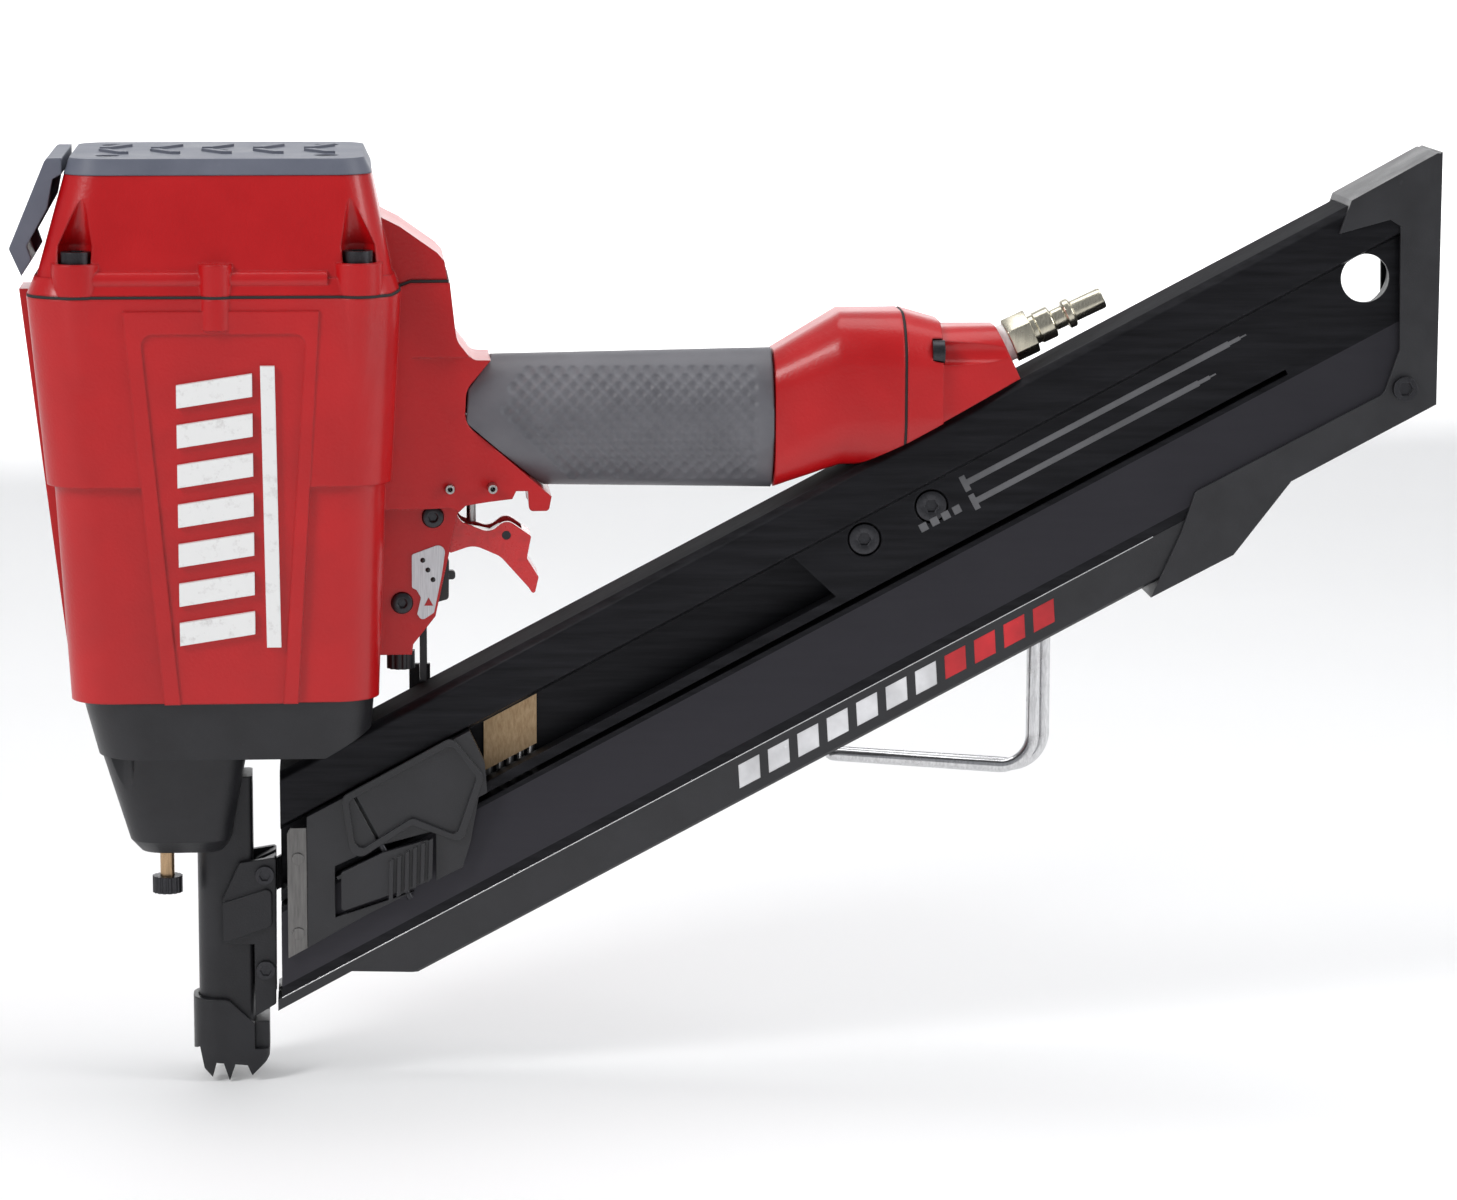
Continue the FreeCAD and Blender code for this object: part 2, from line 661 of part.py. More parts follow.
def makeGasket():
    body = newBody("head_gasket")
    seam = size("seamHeight")
    thick = size("gasketThick")
    loft(body, [sketchOn(body, "XY_Plane", roundedRectangle(-66.2, 63.3, 51.8, 16), seam - 4),
                sketchOn(body, "XY_Plane", roundedRectangle(-66.2, 63.3, 51.8, 16), seam + 8)])
    for x, y in cornerPlaces:
        ring = Part.Circle(Vector(x, y, 0), upright, size("cornerBoss") - 0.1)
        pad(body, sketchOn(body, "XY_Plane", [ring], seam - 4), "12", midplane=False)
    sideBoss(body, seam - 4, seam + 8)
    sidePad(body, [(40, seam - 4), (80.6, seam - 4), (80.2, seam + 8), (40, seam + 8)],
            "Sizes.neckWidth - 0.6")
    cutSide(body, seamLine(thick) + [(90, 330), (-80, 330)])
    cutSide(body, seamLine() + [(90, 200), (-80, 200)])
    boreDown(body, (0, 0), size("boreRadius"), 300, "300")
    for x, y in cornerPlaces:
        boreDown(body, (x, y), 3.0, 300, "100")
    return body


def makeHeadCap():
    body = newBody("head_cap")
    seam = size("seamHeight")
    top = size("headTop")
    loft(body, [sketchOn(body, "XY_Plane", roundedRectangle(-66.5, 63.5, 52.0, 16), seam),
                sketchOn(body, "XY_Plane", roundedRectangle(-63.5, 61.0, 50.0, 15), seam + 7)])
    loft(body, [sketchOn(body, "XY_Plane", roundedRectangle(-62.8, 60.6, 49.4, 15), seam + 6.5),
                sketchOn(body, "XY_Plane", roundedRectangle(-52.8, 53.4, 43.5, 13), top)])
    # rolled ridge along each flank above the seam
    for side in (-1, 1):
        roll = Part.Circle(Vector(side * 48.4, seam + 6.4, 0), upright, 3.0)
        pad(body, sketchOn(body, "YZ_Plane", [roll], -50.0), "88", midplane=False)
    sideBoss(body, seam, seam + 12)
    sidePad(body, [(20, seam), (80.4, seam), (79.0, 284.0, 2), (76.4, 287.0, 2), (63.3, 296.3, 4),
                   (50, 303), (20, 303)], "Sizes.neckWidth - 2")
    # bosses of the corner screws run down over the seam
    for x, y in cornerPlaces:
        ring = Part.Circle(Vector(x, y, 0), upright, size("cornerBoss"))
        pad(body, sketchOn(body, "XY_Plane", [ring], seam), "12", midplane=False)
    thick = size("gasketThick")
    cutSide(body, seamLine(thick) + [(90, 200), (-80, 200)])
    boreDown(body, (0, 0), size("boreRadius"), 303, "60")
    # arched pockets over the screws
    for x, y in cornerPlaces:
        boreDown(body, (x, y), 6.2, 292, "7")
        boreDown(body, (x, y), 3.0, 290, "60")
        low = Part.Circle(Vector(x, y, 0), upright, 6.2)
        high = Part.Circle(Vector(x * 0.955, y, 0), upright, 1.0)
        arch = body.newObject("PartDesign::SubtractiveLoft", body.Name + "Arch")
        arch.Profile = sketchOn(body, "XY_Plane", [low], 291.8)
        arch.Sections = [sketchOn(body, "XY_Plane", [high], 308.0)]
        arch.Ruled = True
    # exhaust way forward under the cap
    sidePocket(body, [(-70, 304), (0, 304), (0, 312), (-70, 312)], "34")
    boreDown(body, (0, 0), 20, 330, "40")
    for x, y in capScrewPlaces:
        boreDown(body, (x, y), 2.1, 330, "30")
    return body


capScrewPlaces = [(-38.0, -26.0), (-38.0, 26.0), (38.0, -26.0), (38.0, 26.0)]


def makeExhaustCap():
    body = newBody("exhaust_cap")
    top = size("headTop")
    loft(body, [sketchOn(body, "XY_Plane", roundedRectangle(-53.0, 53.7, 43.8, 13), top),
                sketchOn(body, "XY_Plane", roundedRectangle(-50.9, 51.1, 42.2, 11), top + 5.6)])
    # chevron treads, raised in rows
    for x in (-36, -18, 0, 18, 36):
        for side in (-1, 1):
            tread = outlineEdges([(x - 6, side * 4), (x - 2.5, side * 4), (x + 5, side * 18),
                                  (x + 1.5, side * 18)])
            pad(body, sketchOn(body, "XY_Plane", tread, top + 5.2), "1.3", midplane=False)
    boreDown(body, (0, 0), 3.4, 340, f"{340 - top - 2.6}")
    for x, y in capScrewPlaces:
        boreDown(body, (x, y), 4.2, 340, f"{340 - top - 3.0}")
        boreDown(body, (x, y), 2.1, 340, "60")
    return body


def makeDeflector():
    """Tongue that turns the exhaust forwards and down over the head's front."""
    body = newBody("exhaust_deflector")
    top = size("headTop")
    sidePad(body, [(-53.4, top + 5.4), (-58.9, top + 5.4, 2), (-72.1, 290.1, 1.5), (-67.9, 280.6),
                   (-64.4, 286.4, 1), (-66.0, 291.0, 1), (-58.6, 304, 1), (-56.6, 314.2, 1), (-53.4, 316)],
            "70")
    sidePocket(body, [(-54.6, top + 1.5), (-57.6, top + 1.5), (-63.4, 303.5), (-69.0, 290.4),
                      (-67.0, 283), (-60.0, 283), (-53.0, 304)], "64")
    return body


# ----------------------------------------------------------------- drive internals

def makeDriveGroup():
    floor = size("bodyFloor")
    sleeveLow = floor + 6.0
    tube = cut("SleeveTube", rod("SleeveOuter", "Sizes.sleeveOuter", "Sizes.sleeveLength",
                                 Vector(0, 0, sleeveLow)),
               rod("SleeveBore", "Sizes.sleeveInner", "Sizes.sleeveLength", Vector(0, 0, sleeveLow)))
    collar = cut("SleeveCollar", rod("CollarOuter", "Sizes.boreRadius", "4", Vector(0, 0, 205)),
                 rod("CollarBore", "Sizes.sleeveInner + 1", "4", Vector(0, 0, 205)))
    keep(fuse("Sleeve", [tube, collar]), "cylinder_sleeve")

    bumper = cut("BumperRing", rod("BumperOuter", "Sizes.sleeveInner - 0.05", "Sizes.bumperThick",
                                   Vector(0, 0, sleeveLow)),
                 rod("BumperHole", "6.5", "Sizes.bumperThick", Vector(0, 0, sleeveLow)))
    keep(bumper, "bumper")

    rest = size("pistonRest")
    crown = rod("PistonDisc", "Sizes.pistonRadius", "Sizes.pistonThick", Vector(0, 0, rest))
    groove = cut("PistonGroove", rod("GrooveOuter", "Sizes.pistonRadius + 1", "3.2",
                                     Vector(0, 0, rest + 4.4)),
                 rod("GrooveInner", "Sizes.pistonRadius - 2.6", "3.2", Vector(0, 0, rest + 4.4)))
    dish = frustum("PistonDish", "10", "22", "5", Vector(0, 0, rest + size("pistonThick") - 5))
    neck = rod("PistonNeck", "Sizes.bladeRadius", "Sizes.pistonThick", Vector(0, 0, rest))
    blank = cut("PistonTurned", cut("PistonBlank", crown, groove), dish)
    keep(cut("Piston", blank, neck), "piston")
    keep(ringSolid("PistonRing", "Sizes.pistonRadius - 1.25", "1.3", Vector(0, 0, rest + 6.0)),
         "piston_o_ring")

    bladeLong = rest + 6.0 - size("bladeTip")
    blade = rod("BladeRod", "Sizes.bladeRadius", f"{bladeLong}", Vector(0, 0, size("bladeTip")))
    keep(blade, "driver_blade")

    valveLow = sleeveLow + size("sleeveLength") + 0.3
    valve = cut("HeadValveRing", rod("HeadValveOuter", "Sizes.boreRadius - 0.4", "9",
                                     Vector(0, 0, valveLow)),
                rod("HeadValveHole", "24", "9", Vector(0, 0, valveLow)))
    lighten = cut("HeadValveSlot", rod("SlotOuter", "34.5", "5", Vector(0, 0, valveLow + 4)),
                  rod("SlotInner", "30.5", "5", Vector(0, 0, valveLow + 4)))
    keep(cut("HeadValve", valve, lighten), "head_valve")
    coilSpring("head_valve_spring", 32.5, 1.2, valveLow + 4.2, 302.8, 5, (0, 0))
    return valveLow


# ------------------------------------------------------------------- handle pieces

def makeGripSleeve():
    body = newBody("grip_sleeve")
    loft(body, [sketchOn(body, "YZ_Plane", ovalEdges(225.2, 23.6, 18.6), 84.0),
                sketchOn(body, "YZ_Plane", ovalEdges(225.3, 25.2, 19.6), 196.0)])
    loftCut = body.newObject("PartDesign::SubtractiveLoft", "GripSleeveCore")
    sections = [sketchOn(body, "YZ_Plane", ovalEdges(224.952, 19.72, 15.64), 84.0),
                sketchOn(body, "YZ_Plane", ovalEdges(225.4, 22.02, 16.84), 203.0)]
    loftCut.Profile = sections[0]
    loftCut.Sections = sections[1:]
    loftCut.Ruled = True
    # the front is a point on each flank, cut back above and below
    sidePocket(body, [(70, 260), (95.8, 260), (95.8, 248.2), (86.8, 237.8, 8), (86.2, 226.2, 8),
                      (117.4, 199.2), (117.4, 190), (70, 190)], "80")
    return body


def makeEndCap():
    body = newBody("end_cap")
    loft(body, [sketchOn(body, "YZ_Plane", handleRing(27.6, 26.0, 236.6), 242.8),
                sketchOn(body, "YZ_Plane", handleRing(24.4, 23.0, 236.0), 256.0)])
    loft(body, [sketchOn(body, "YZ_Plane", handleRing(22.4, 21.0, 236.0), 254.0),
                sketchOn(body, "YZ_Plane", handleRing(18.5, 13.0, 240.0), 292.0)])
    cutSide(body, [(200, 0), (360, 0), (360, heightAt(360, size("magazineTop") + 0.3)),
                   (200, heightAt(200, size("magazineTop") + 0.3))])
    # port face square to the plug's axis
    lean = math.radians(size("plugAngle"))
    face = portCentre
    side = Vector(-math.sin(lean), 0, math.cos(lean))
    top = face + side * 40
    low = face - side * 40
    cutSide(body, [(top.x, top.z), (low.x, low.z), (low.x + 60, low.z), (top.x + 60, top.z)])
    ring = Part.Circle(Vector(0, 0, 0), upright, 6.5)
    sketch = sketchOn(body, "XY_Plane", [ring])
    sketch.AttachmentOffset = Placement(face, Rotation(upright, plugAxis))
    pocket(body, sketch, "24", midplane=False)
    ring = Part.Circle(Vector(0, size("handleHeight") + 5, 0), upright, size("airRadius"))
    pocket(body, sketchOn(body, "YZ_Plane", [ring], 242), "18", midplane=False, backward=True)
    for y, z in endScrewPlaces:
        wide = Part.Circle(Vector(y, z, 0), upright, 4.8)
        pocket(body, sketchOn(body, "YZ_Plane", [wide], 300), "48", midplane=False)
        hole = Part.Circle(Vector(y, z, 0), upright, 2.6)
        pocket(body, sketchOn(body, "YZ_Plane", [hole], 300), "80", midplane=False)
    return body


plugAxis = Vector(math.cos(math.radians(size("plugAngle"))), 0, math.sin(math.radians(size("plugAngle"))))
portCentre = Vector(279.6, 0, 250.9)


def makeEndGasket():
    body = newBody("end_cap_gasket")
    pad(body, sketchOn(body, "YZ_Plane", handleRing(27.4, 25.8, 236.6), 241.8), "1.0", midplane=False)
    cutSide(body, [(200, 0), (360, 0), (360, heightAt(360, size("magazineTop") + 0.3)),
                   (200, heightAt(200, size("magazineTop") + 0.3))])
    ring = Part.Circle(Vector(0, size("handleHeight") + 2, 0), upright, size("airRadius") + 3)
    pocket(body, sketchOn(body, "YZ_Plane", [ring], 250), "20", midplane=False)
    for y, z in endScrewPlaces:
        hole = Part.Circle(Vector(y, z, 0), upright, 2.6)
        pocket(body, sketchOn(body, "YZ_Plane", [hole], 250), "20", midplane=False)
    return body


def makeAirPlug():
    """Quick-connect plug on a hexagon, with its nose profile turned in steps."""
    def at(distance):
        return portCentre + plugAxis * distance
    pieces = [
        rod("PlugThread", 6.4, 13.0, at(-10.0), plugAxis),
        hexagon("PlugHex", 14.3, 9.0, at(3.0), plugAxis),
        rod("PlugWaist", 5.4, 8.0, at(12.0), plugAxis),
        rod("PlugCollar", 5.9, 6.0, at(14.0), plugAxis),
        rod("PlugNeck", 3.9, 20.0, at(20.0), plugAxis),
        rod("PlugBead", 5.4, 3.0, at(25.0), plugAxis),
        rod("PlugNose", 3.9, 12.0, at(28.0), plugAxis),
    ]
    solid = fuse("PlugSolid", pieces)
    keep(cut("Plug", solid, rod("PlugBore", 2.6, 60.0, at(-12.0), plugAxis)), "air_plug")
    tape = cut("TapeRing", rod("TapeOuter", 6.9, 2.9, at(0.05), plugAxis),
               rod("TapeHole", 6.4, 2.9, at(0.05), plugAxis))
    keep(tape, "thread_seal_tape")


# -------------------------------------------------------------------------- nose

def makeNoseBase():
    body = newBody("nose_base")
    floor = size("bodyFloor")
    loft(body, [sketchOn(body, "XY_Plane", roundedRectangle(-44.6, 51.0, 41.0, 19), 110.0),
                sketchOn(body, "XY_Plane", roundedRectangle(-50.0, 53.0, 43.5, 20), floor)])
    loft(body, [sketchOn(body, "XY_Plane", roundedRectangle(-31.0, -1.0, 14.0, 9), 71.0),
                sketchOn(body, "XY_Plane", roundedRectangle(-34.5, 1.5, 20.0, 10), 76.0),
                sketchOn(body, "XY_Plane", roundedRectangle(-44.6, 8.0, 29.0, 14), 111.0)])
    # spigot that centres it in the bore
    ring = Part.Circle(Vector(0, 0, 0), upright, size("boreRadius") - 0.1)
    pad(body, sketchOn(body, "XY_Plane", [ring], floor - 1), "7", midplane=False)
    # clear of the magazine's front and of the contact arm
    cutSide(body, [(13.0, 60), (70, 60), (70, heightAt(70, size("magazineTop") + 1.0)),
                   (13.0, heightAt(13.0, size("magazineTop") + 1.0))])
    boreDown(body, (0, 0), size("bladeRadius") + 1.4, 200, "200")
    seat = outlineEdges([(-9.3, -9.3), (9.3, -9.3), (9.3, 9.3), (-9.3, 9.3)])
    pocket(body, sketchOn(body, "XY_Plane", seat, size("nosepieceTop")), "60", midplane=False)
    for x, y in noseBoltPlaces:
        boreDown(body, (x, y), 3.0, 150, "60")
        boreDown(body, (x, y), 5.4, noseBoltSeat, "60")
    boreDown(body, adjusterPlace, 2.6, 110, "60")
    return body


adjusterPlace = (-21.8, -5.0)
noseBoltSeat = 120.0


def makeNosepiece():
    body = newBody("nosepiece")
    outline = outlineEdges([(-11.1, -9.0, 8.5), (9.0, -9.0, 2), (9.0, 9.0, 2), (-11.1, 9.0, 8.5)])
    pad(body, sketchOn(body, "XY_Plane", outline), "71.0", midplane=False)
    upper = outlineEdges([(-9.0, -9.0, 2), (9.0, -9.0, 2), (9.0, 9.0, 2), (-9.0, 9.0, 2)])
    pad(body, sketchOn(body, "XY_Plane", upper, 70), "Sizes.nosepieceTop - 70", midplane=False)
    boreDown(body, (0, 0), size("driveBore"), 150, "160")
    # feed slot towards the magazine, closed again at the muzzle
    sidePocket(body, [(0, 14), (20, 14), (20, 94), (0, 94)], "6.4")
    return body


def makeSidePlates():
    """Joggled steel plate each side of the feed slot, between nose and magazine."""
    plates = []
    for side in (1, -1):
        body = doc.addObject("PartDesign::Body", "NosePlate")
        plates.append(body)
        sidePad(body, [(-1.9, 36.5, 1), (9.2, 36.5), (9.2, 9.8), (16.8, 14.4, 1), (17.2, 68.4, 1),
                       (4.2, 66.4, 1), (-2.1, 53.2, 1)], "2.6", side * 10.4)
        sidePad(body, [(-1.9, 37.2, 1), (15.6, 43.4, 2), (15.6, 57.5, 2), (-2.1, 52.0, 1)], "1.6",
                side * 12.4)
        # spacer that carries the magazine's front end
        inner = size("channelHalf")
        wide = 9.1 - inner
        sidePad(body, [(9.2, 20.4), (16.8, 20.4), (17.2, 68.4), (9.2, 64.6)], f"{wide}",
                side * (inner + wide / 2))
        for z in plateScrewHeights:
            sideHole(body, (13.2, z), 2.1, "24", side * 10.4)
    keep(group("NosePlates", plates), "nose_plates")


plateScrewHeights = (27.0, 62.0)


def makeContactFoot():
    """Toothed shoe that slides on the muzzle."""
    body = newBody("contact_foot")
    gap = 0.35
    foot = outlineEdges([(-13.2, -11.6, 9.5), (14.2, -11.6, 3), (14.2, 11.6, 3), (-13.2, 11.6, 9.5)])
    low = -14.0
    pad(body, sketchOn(body, "XY_Plane", foot, low), f"{size('footHeight') - low}", midplane=False)
    hollow = outlineEdges([(-11.1 - gap, -9.0 - gap, 8.7), (9.0 + gap, -9.0 - gap, 1.5),
                           (9.0 + gap, 9.0 + gap, 1.5), (-11.1 - gap, 9.0 + gap, 8.7)])
    pocket(body, sketchOn(body, "XY_Plane", hollow, 20), "40", midplane=False)
    # above the lower band the flanks stop short of the nose plates
    for side in (-1, 1):
        sidePocket(body, [(8.9, -2.4), (30, -2.4), (30, 40), (8.9, 40)], "4.4", side * 11.2)
    # curved upper edge and open back, then the teeth
    cutSide(body, [(-5, 17.4), (0, 15.4), (5.5, 10.2), (8.5, 7.4), (20, 7.4), (20, 40), (-5, 40)])
    cutSide(body, [(-30, -12), (-11.0, -2), (-9.4, -9.6), (-6.4, -12.6), (-5.0, -7.4), (-2.4, -7.6),
                   (-0.3, -14.0), (1.8, -8.0), (6.2, -8.4), (7.8, -12.2), (13.0, -7.0), (16, -2), (30, -12),
                   (30, -30), (-30, -30)])
    return body


def makeContactLink():
    """Steel linkage from the foot up to the trigger's lever, along the far side."""
    body = newBody("contact_link")
    gap = 0.9
    flank = size("magazineHalf") + gap
    thick = size("linkThick")
    mid = -(flank + thick / 2)
    plate = "Sizes.linkThick"
    # tail that is bolted to the foot, then the arm beside the magazine
    sidePad(body, [(-6, -2), (14.0, -2), (14.0, 7.2), (5.0, 12.0), (5.0, 40.0), (14, 48.4), (73.6, 80.0),
                   (73.6, 133.4), (66.0, 133.4), (66.0, 88.0), (8.0, 57.2), (-6, 44.0)], plate, mid)
    # bridge over the magazine and the finger between the bracket's walls
    bridgeWide = flank + 2.0 + 0.4
    sidePad(body, [(69.6, 130.4), (72.2, 130.4), (72.2, 133.4), (69.6, 133.4)], f"{bridgeWide}",
            -(flank + 0.4 - bridgeWide / 2))
    sidePad(body, [(69.6, 130.4), (72.2, 130.4), (72.2, 163.8), (79.5, 163.8), (79.5, 166.8),
                   (69.6, 166.8)], "4")
    # spacer to the foot's flank
    spacer = flank - 11.6
    sidePad(body, [(-3, -2), (8.0, -2), (8.0, 7.0), (-3, 12.0)], f"{spacer}", -(11.6 + spacer / 2))
    # seat of the return spring
    sidePad(body, [(26, 62.4), (36, 67.7), (36, 72.4), (26, 72.4)], "12", -(flank + 6.0))
    return body


# ----------------------------------------------------------------- trigger group

def makeTrigger():
    body = newBody("trigger")
    profile = [(68.6, 197.0, 4), (80.0, 197.0, 4), (84.6, 189.4, 3), (94.8, 185.4, 5),
               (100.8, 190.2, 4), (109.6, 184.0, 0.8), (108.0, 176.0, 1), (112.2, 169.2, 1),
               (110.6, 162.2, 0.8), (108.6, 165.4, 2), (98.5, 176.8, 8), (89.0, 181.0, 8), (80.8, 178.2, 1),
               (68.6, 186.0, 3)]
    sidePad(body, profile, "Sizes.triggerWidth")
    # hollow between the cheeks, with the finger surface left as a floor
    sidePocket(body, [(60, 202), (60, 170), (81.4, 170), (81.4, 180.0), (89.2, 182.2), (99.3, 178.4),
                      (105.0, 172.2), (106.2, 176.6), (106.6, 202)], "Sizes.triggerInside")
    sideHole(body, triggerPivot, size("pivotPin") + size("runningGap"), "60")
    sideHole(body, leverPivot, size("leverPin"), "60")
    return body


leverPivot = (100.7, 184.4)


def makeTriggerLever():
    body = newBody("trigger_lever")
    sidePad(body, [(77.0, 187.8), (84.5, 187.6), (95.0, 185.2), (98.4, 187.2, 2), (103.4, 187.2, 2),
                   (103.4, 182.0, 2), (95.2, 182.3), (84.0, 185.2), (77.0, 185.4)], "Sizes.leverWidth")
    sideHole(body, leverPivot, size("leverPin") + size("runningGap"), "20")
    return body


def makeSelector():
    """Cam lever on its own pin that chooses single or contact firing."""
    body = newBody("trigger_selector")
    sidePad(body, [(58.6, 156.6, 4), (67.6, 156.6, 4), (76.8, 160.6, 1), (80.0, 161.4, 1.5),
                   (80.2, 176.4, 1.5), (77.0, 176.4, 1), (75.2, 167.0, 2), (58.6, 165.6, 4)],
            "4.4", 6.4)
    sidePad(body, [(79.8, 168.4), (82.4, 168.4, 1.2), (82.4, 171.6, 1.2), (79.8, 171.6)], "3.0", 6.4)
    sideHole(body, selectorPivot, size("pivotPin") + size("runningGap"), "60")
    return body


def makeTriggerPins():
    half = size("bracketWidth") / 2
    for label, place in (("trigger_pin", triggerPivot), ("selector_pin", selectorPivot)):
        pin = rod("Shaft" + label.title().replace("_", ""), "Sizes.pivotPin", "Sizes.bracketWidth + 1",
                  Vector(place[0], -half - 1, place[1]), across)
        dome = rod("Knob" + label.title().replace("_", ""), "Sizes.pivotPin + 1", "1.4",
                   Vector(place[0], -half - 1.6, place[1]), across)
        trimmed = cut("Trim" + label.title().replace("_", ""), dome,
                      rod("Face" + label.title().replace("_", ""), "Sizes.pivotPin + 2", "2",
                          Vector(place[0], -half, place[1]), across))
        keep(fuse("Pin" + label.title().replace("_", ""), [pin, trimmed]), label)
    pin = rod("LeverPin", "Sizes.leverPin", "Sizes.triggerWidth", Vector(leverPivot[0], -9, leverPivot[1]),
              across)
    keep(pin, "lever_pin")
    neck = size("neckWidth") / 2
    pins = []
    for index, place in enumerate(rollPinPlaces):
        outer = rod(f"RollPinOuter{index}", "Sizes.rollPin", "Sizes.neckWidth - 1",
                    Vector(place[0], -neck + 0.5, place[1]), across)
        inner = rod(f"RollPinInner{index}", "Sizes.rollPin - 0.7", "Sizes.neckWidth - 1",
                    Vector(place[0], -neck + 0.5, place[1]), across)
        pins.append(cut(f"RollPin{index}", outer, inner))
    keep(group("RollPins", pins), "roll_pins")


def makeTriggerValve():
    low = 197.0
    shell = rod("ValveShell", "Sizes.valveRadius - 0.05", "Sizes.valveLength", Vector(valveX, 0, low))
    chamber = rod("ValveChamber", "5.4", "17", Vector(valveX, 0, low + 6))
    guide = rod("ValveGuide", "Sizes.stemRadius + 0.3", "10", Vector(valveX, 0, low - 1))
    bored = cut("ValveBored", cut("ValveHollow", shell, chamber), guide)
    keyways = [rod(f"ValveKeyway{index}", "Sizes.rollPin", "40", Vector(place[0], -20, place[1]), across)
               for index, place in enumerate(rollPinPlaces)]
    keep(cut("ValveKeyed", bored, fuse("ValveKeyways", keyways)), "trigger_valve")
    stemLow = 188.4
    stem = rod("StemRod", "Sizes.stemRadius", "24", Vector(valveX, 0, stemLow))
    collar = rod("StemCollar", "4.8", "2", Vector(valveX, 0, low + 6.3))
    keep(fuse("Stem", [stem, collar]), "valve_stem")
    coilSpring("valve_spring", 3.6, 0.45, low + 8.4, low + 22.9, 6, (valveX, 0))


def makeTriggerLabel():
    body = newBody("trigger_label")
    half = size("bracketWidth") / 2
    sidePad(body, [(66.8, 166.5, 1), (66.8, 178.5, 1), (79.2, 183.0, 2.5), (77.4, 171.0), (74.6, 157.5, 1),
                   (70.2, 154.6, 1.5), (68.6, 157.0, 1), (70.0, 163.0, 2), (68.4, 165.8, 1)],
            "0.4", half + 0.2)
    return body


def makeBadge():
    """Plain raised bars on the side panel, with no lettering."""
    body = newBody("side_badge")
    bars = [[(14.4, 251.0), (19.4, 251.0), (20.6, 151.6), (15.6, 151.6)]]
    for index in range(7):
        low = 152.4 + index * 14.0
        bars.append([(-14.6, low), (11.6, low + 4.0), (11.6, low + 12.0), (-14.6, low + 8.0)])
    for side in (1, -1):
        for bar in bars:
            floor = panelShift - size("panelRecess")
            sketch = sketchOn(body, "XZ_Plane", outlineEdges(bar), side * floor, side * panelLean)
            pad(body, sketch, "1.2 + Sizes.panelRecess", midplane=False, backward=side < 0)
    return body


# ------------------------------------------------------------------ hook and rest

hookAxis = Vector(298.0, 26.6, 0)


def makeHook():
    """Hairpin of bright wire on a swivel boss."""
    radius = size("wireRadius")
    top = 158.0
    wires = []
    for index, (x, y, bend, floor) in enumerate(((296.0, 24.0, 12.0, 90.6), (300.4, 29.2, 16.0, 90.4))):
        run = Vector(224.0, y, floor + 6.0)
        corner = Vector(x, y, floor)
        towards = (run - corner).normalize()
        upwards = Vector(0, 0, 1)
        half = towards.getAngle(upwards) / 2
        reach = bend / math.tan(half)
        start = corner + towards * reach
        end = corner + upwards * reach
        middle = corner + (towards + upwards).normalize() * (bend / math.sin(half) - bend)
        path = Part.Wire([Part.LineSegment(run, start).toShape(), Part.Arc(start, middle, end).toShape(),
                          Part.LineSegment(end, Vector(x, y, top)).toShape()])
        section = Part.Wire([Part.makeCircle(radius, run, towards)])
        wires.append(path.makePipeShell([section], True, True))
    nearEnd = Vector(224.0, 24.0, 96.6)
    farEnd = Vector(224.0, 29.2, 96.4)
    span = farEnd - nearEnd
    turn = Part.makeCylinder(radius, span.Length, nearEnd, span)
    balls = [Part.makeSphere(radius, nearEnd), Part.makeSphere(radius, farEnd)]
    boss = Part.makeCylinder(7.4, 16.0, Vector(hookAxis.x, hookAxis.y, 152.0))
    stem = Part.makeCylinder(4.0, 26.0, Vector(hookAxis.x, hookAxis.y, 160.0))
    solid = wires[0].multiFuse([wires[1], turn, boss, stem] + balls).removeSplitter()
    feature = doc.addObject("Part::Feature", "HookSolid")
    feature.Shape = solid
    return keep(feature, "rafter_hook")


def makeHookBracket():
    body = newBody("hook_bracket")
    flank = size("magazineHalf") + 0.05
    low = 168.3
    # block with an upright bore for the hook's stem, on a foot plate
    plate = [(284.0, low), (312.0, low), (312.0, 196.0, 4), (284.0, 196.0, 4)]
    sidePad(body, plate, "3.0", -(flank + 1.5))
    lugs = [(290.0, low), (306.0, low), (306.0, 184.0), (290.0, 184.0)]
    deep = hookAxis.y + 7.0 - flank
    sidePad(body, lugs, f"{deep}", -(flank + deep / 2))
    ring = Part.Circle(Vector(hookAxis.x, hookAxis.y, 0), upright, 4.0 + size("runningGap"))
    pocket(body, sketchOn(body, "XY_Plane", [ring], 200), "60", midplane=False)
    for x in (287.5, 308.8):
        sideHole(body, (x, 190.0), 2.1, "3.0", -(flank + 1.5))
    return body


def makeMagazineBracket():
    """Steel strap from the handle's end to the far side of the magazine."""
    body = newBody("magazine_bracket")
    flank = size("magazineHalf") + 0.05
    sidePad(body, [(222.0, 172.0, 4), (262.0, 193.5, 4), (262.0, 214.0), (268.0, 232.0, 4),
                   (246.0, 244.0, 4), (232.0, 226.0), (219.0, 190.0, 6)], "Sizes.bracketPlate",
            -(26.2 + 1.5))
    sidePad(body, [(222.0, 172.0, 4), (262.0, 193.5, 4), (262.0, 202.0), (222.0, 182.0)],
            f"{26.3 - flank}", -(flank + (26.3 - flank) / 2))
    for place in boltPlaces:
        sideHole(body, place, 3.0, "60", -20)
        sideHole(body, place, 6.0, "8.0", -29.0)
    return body


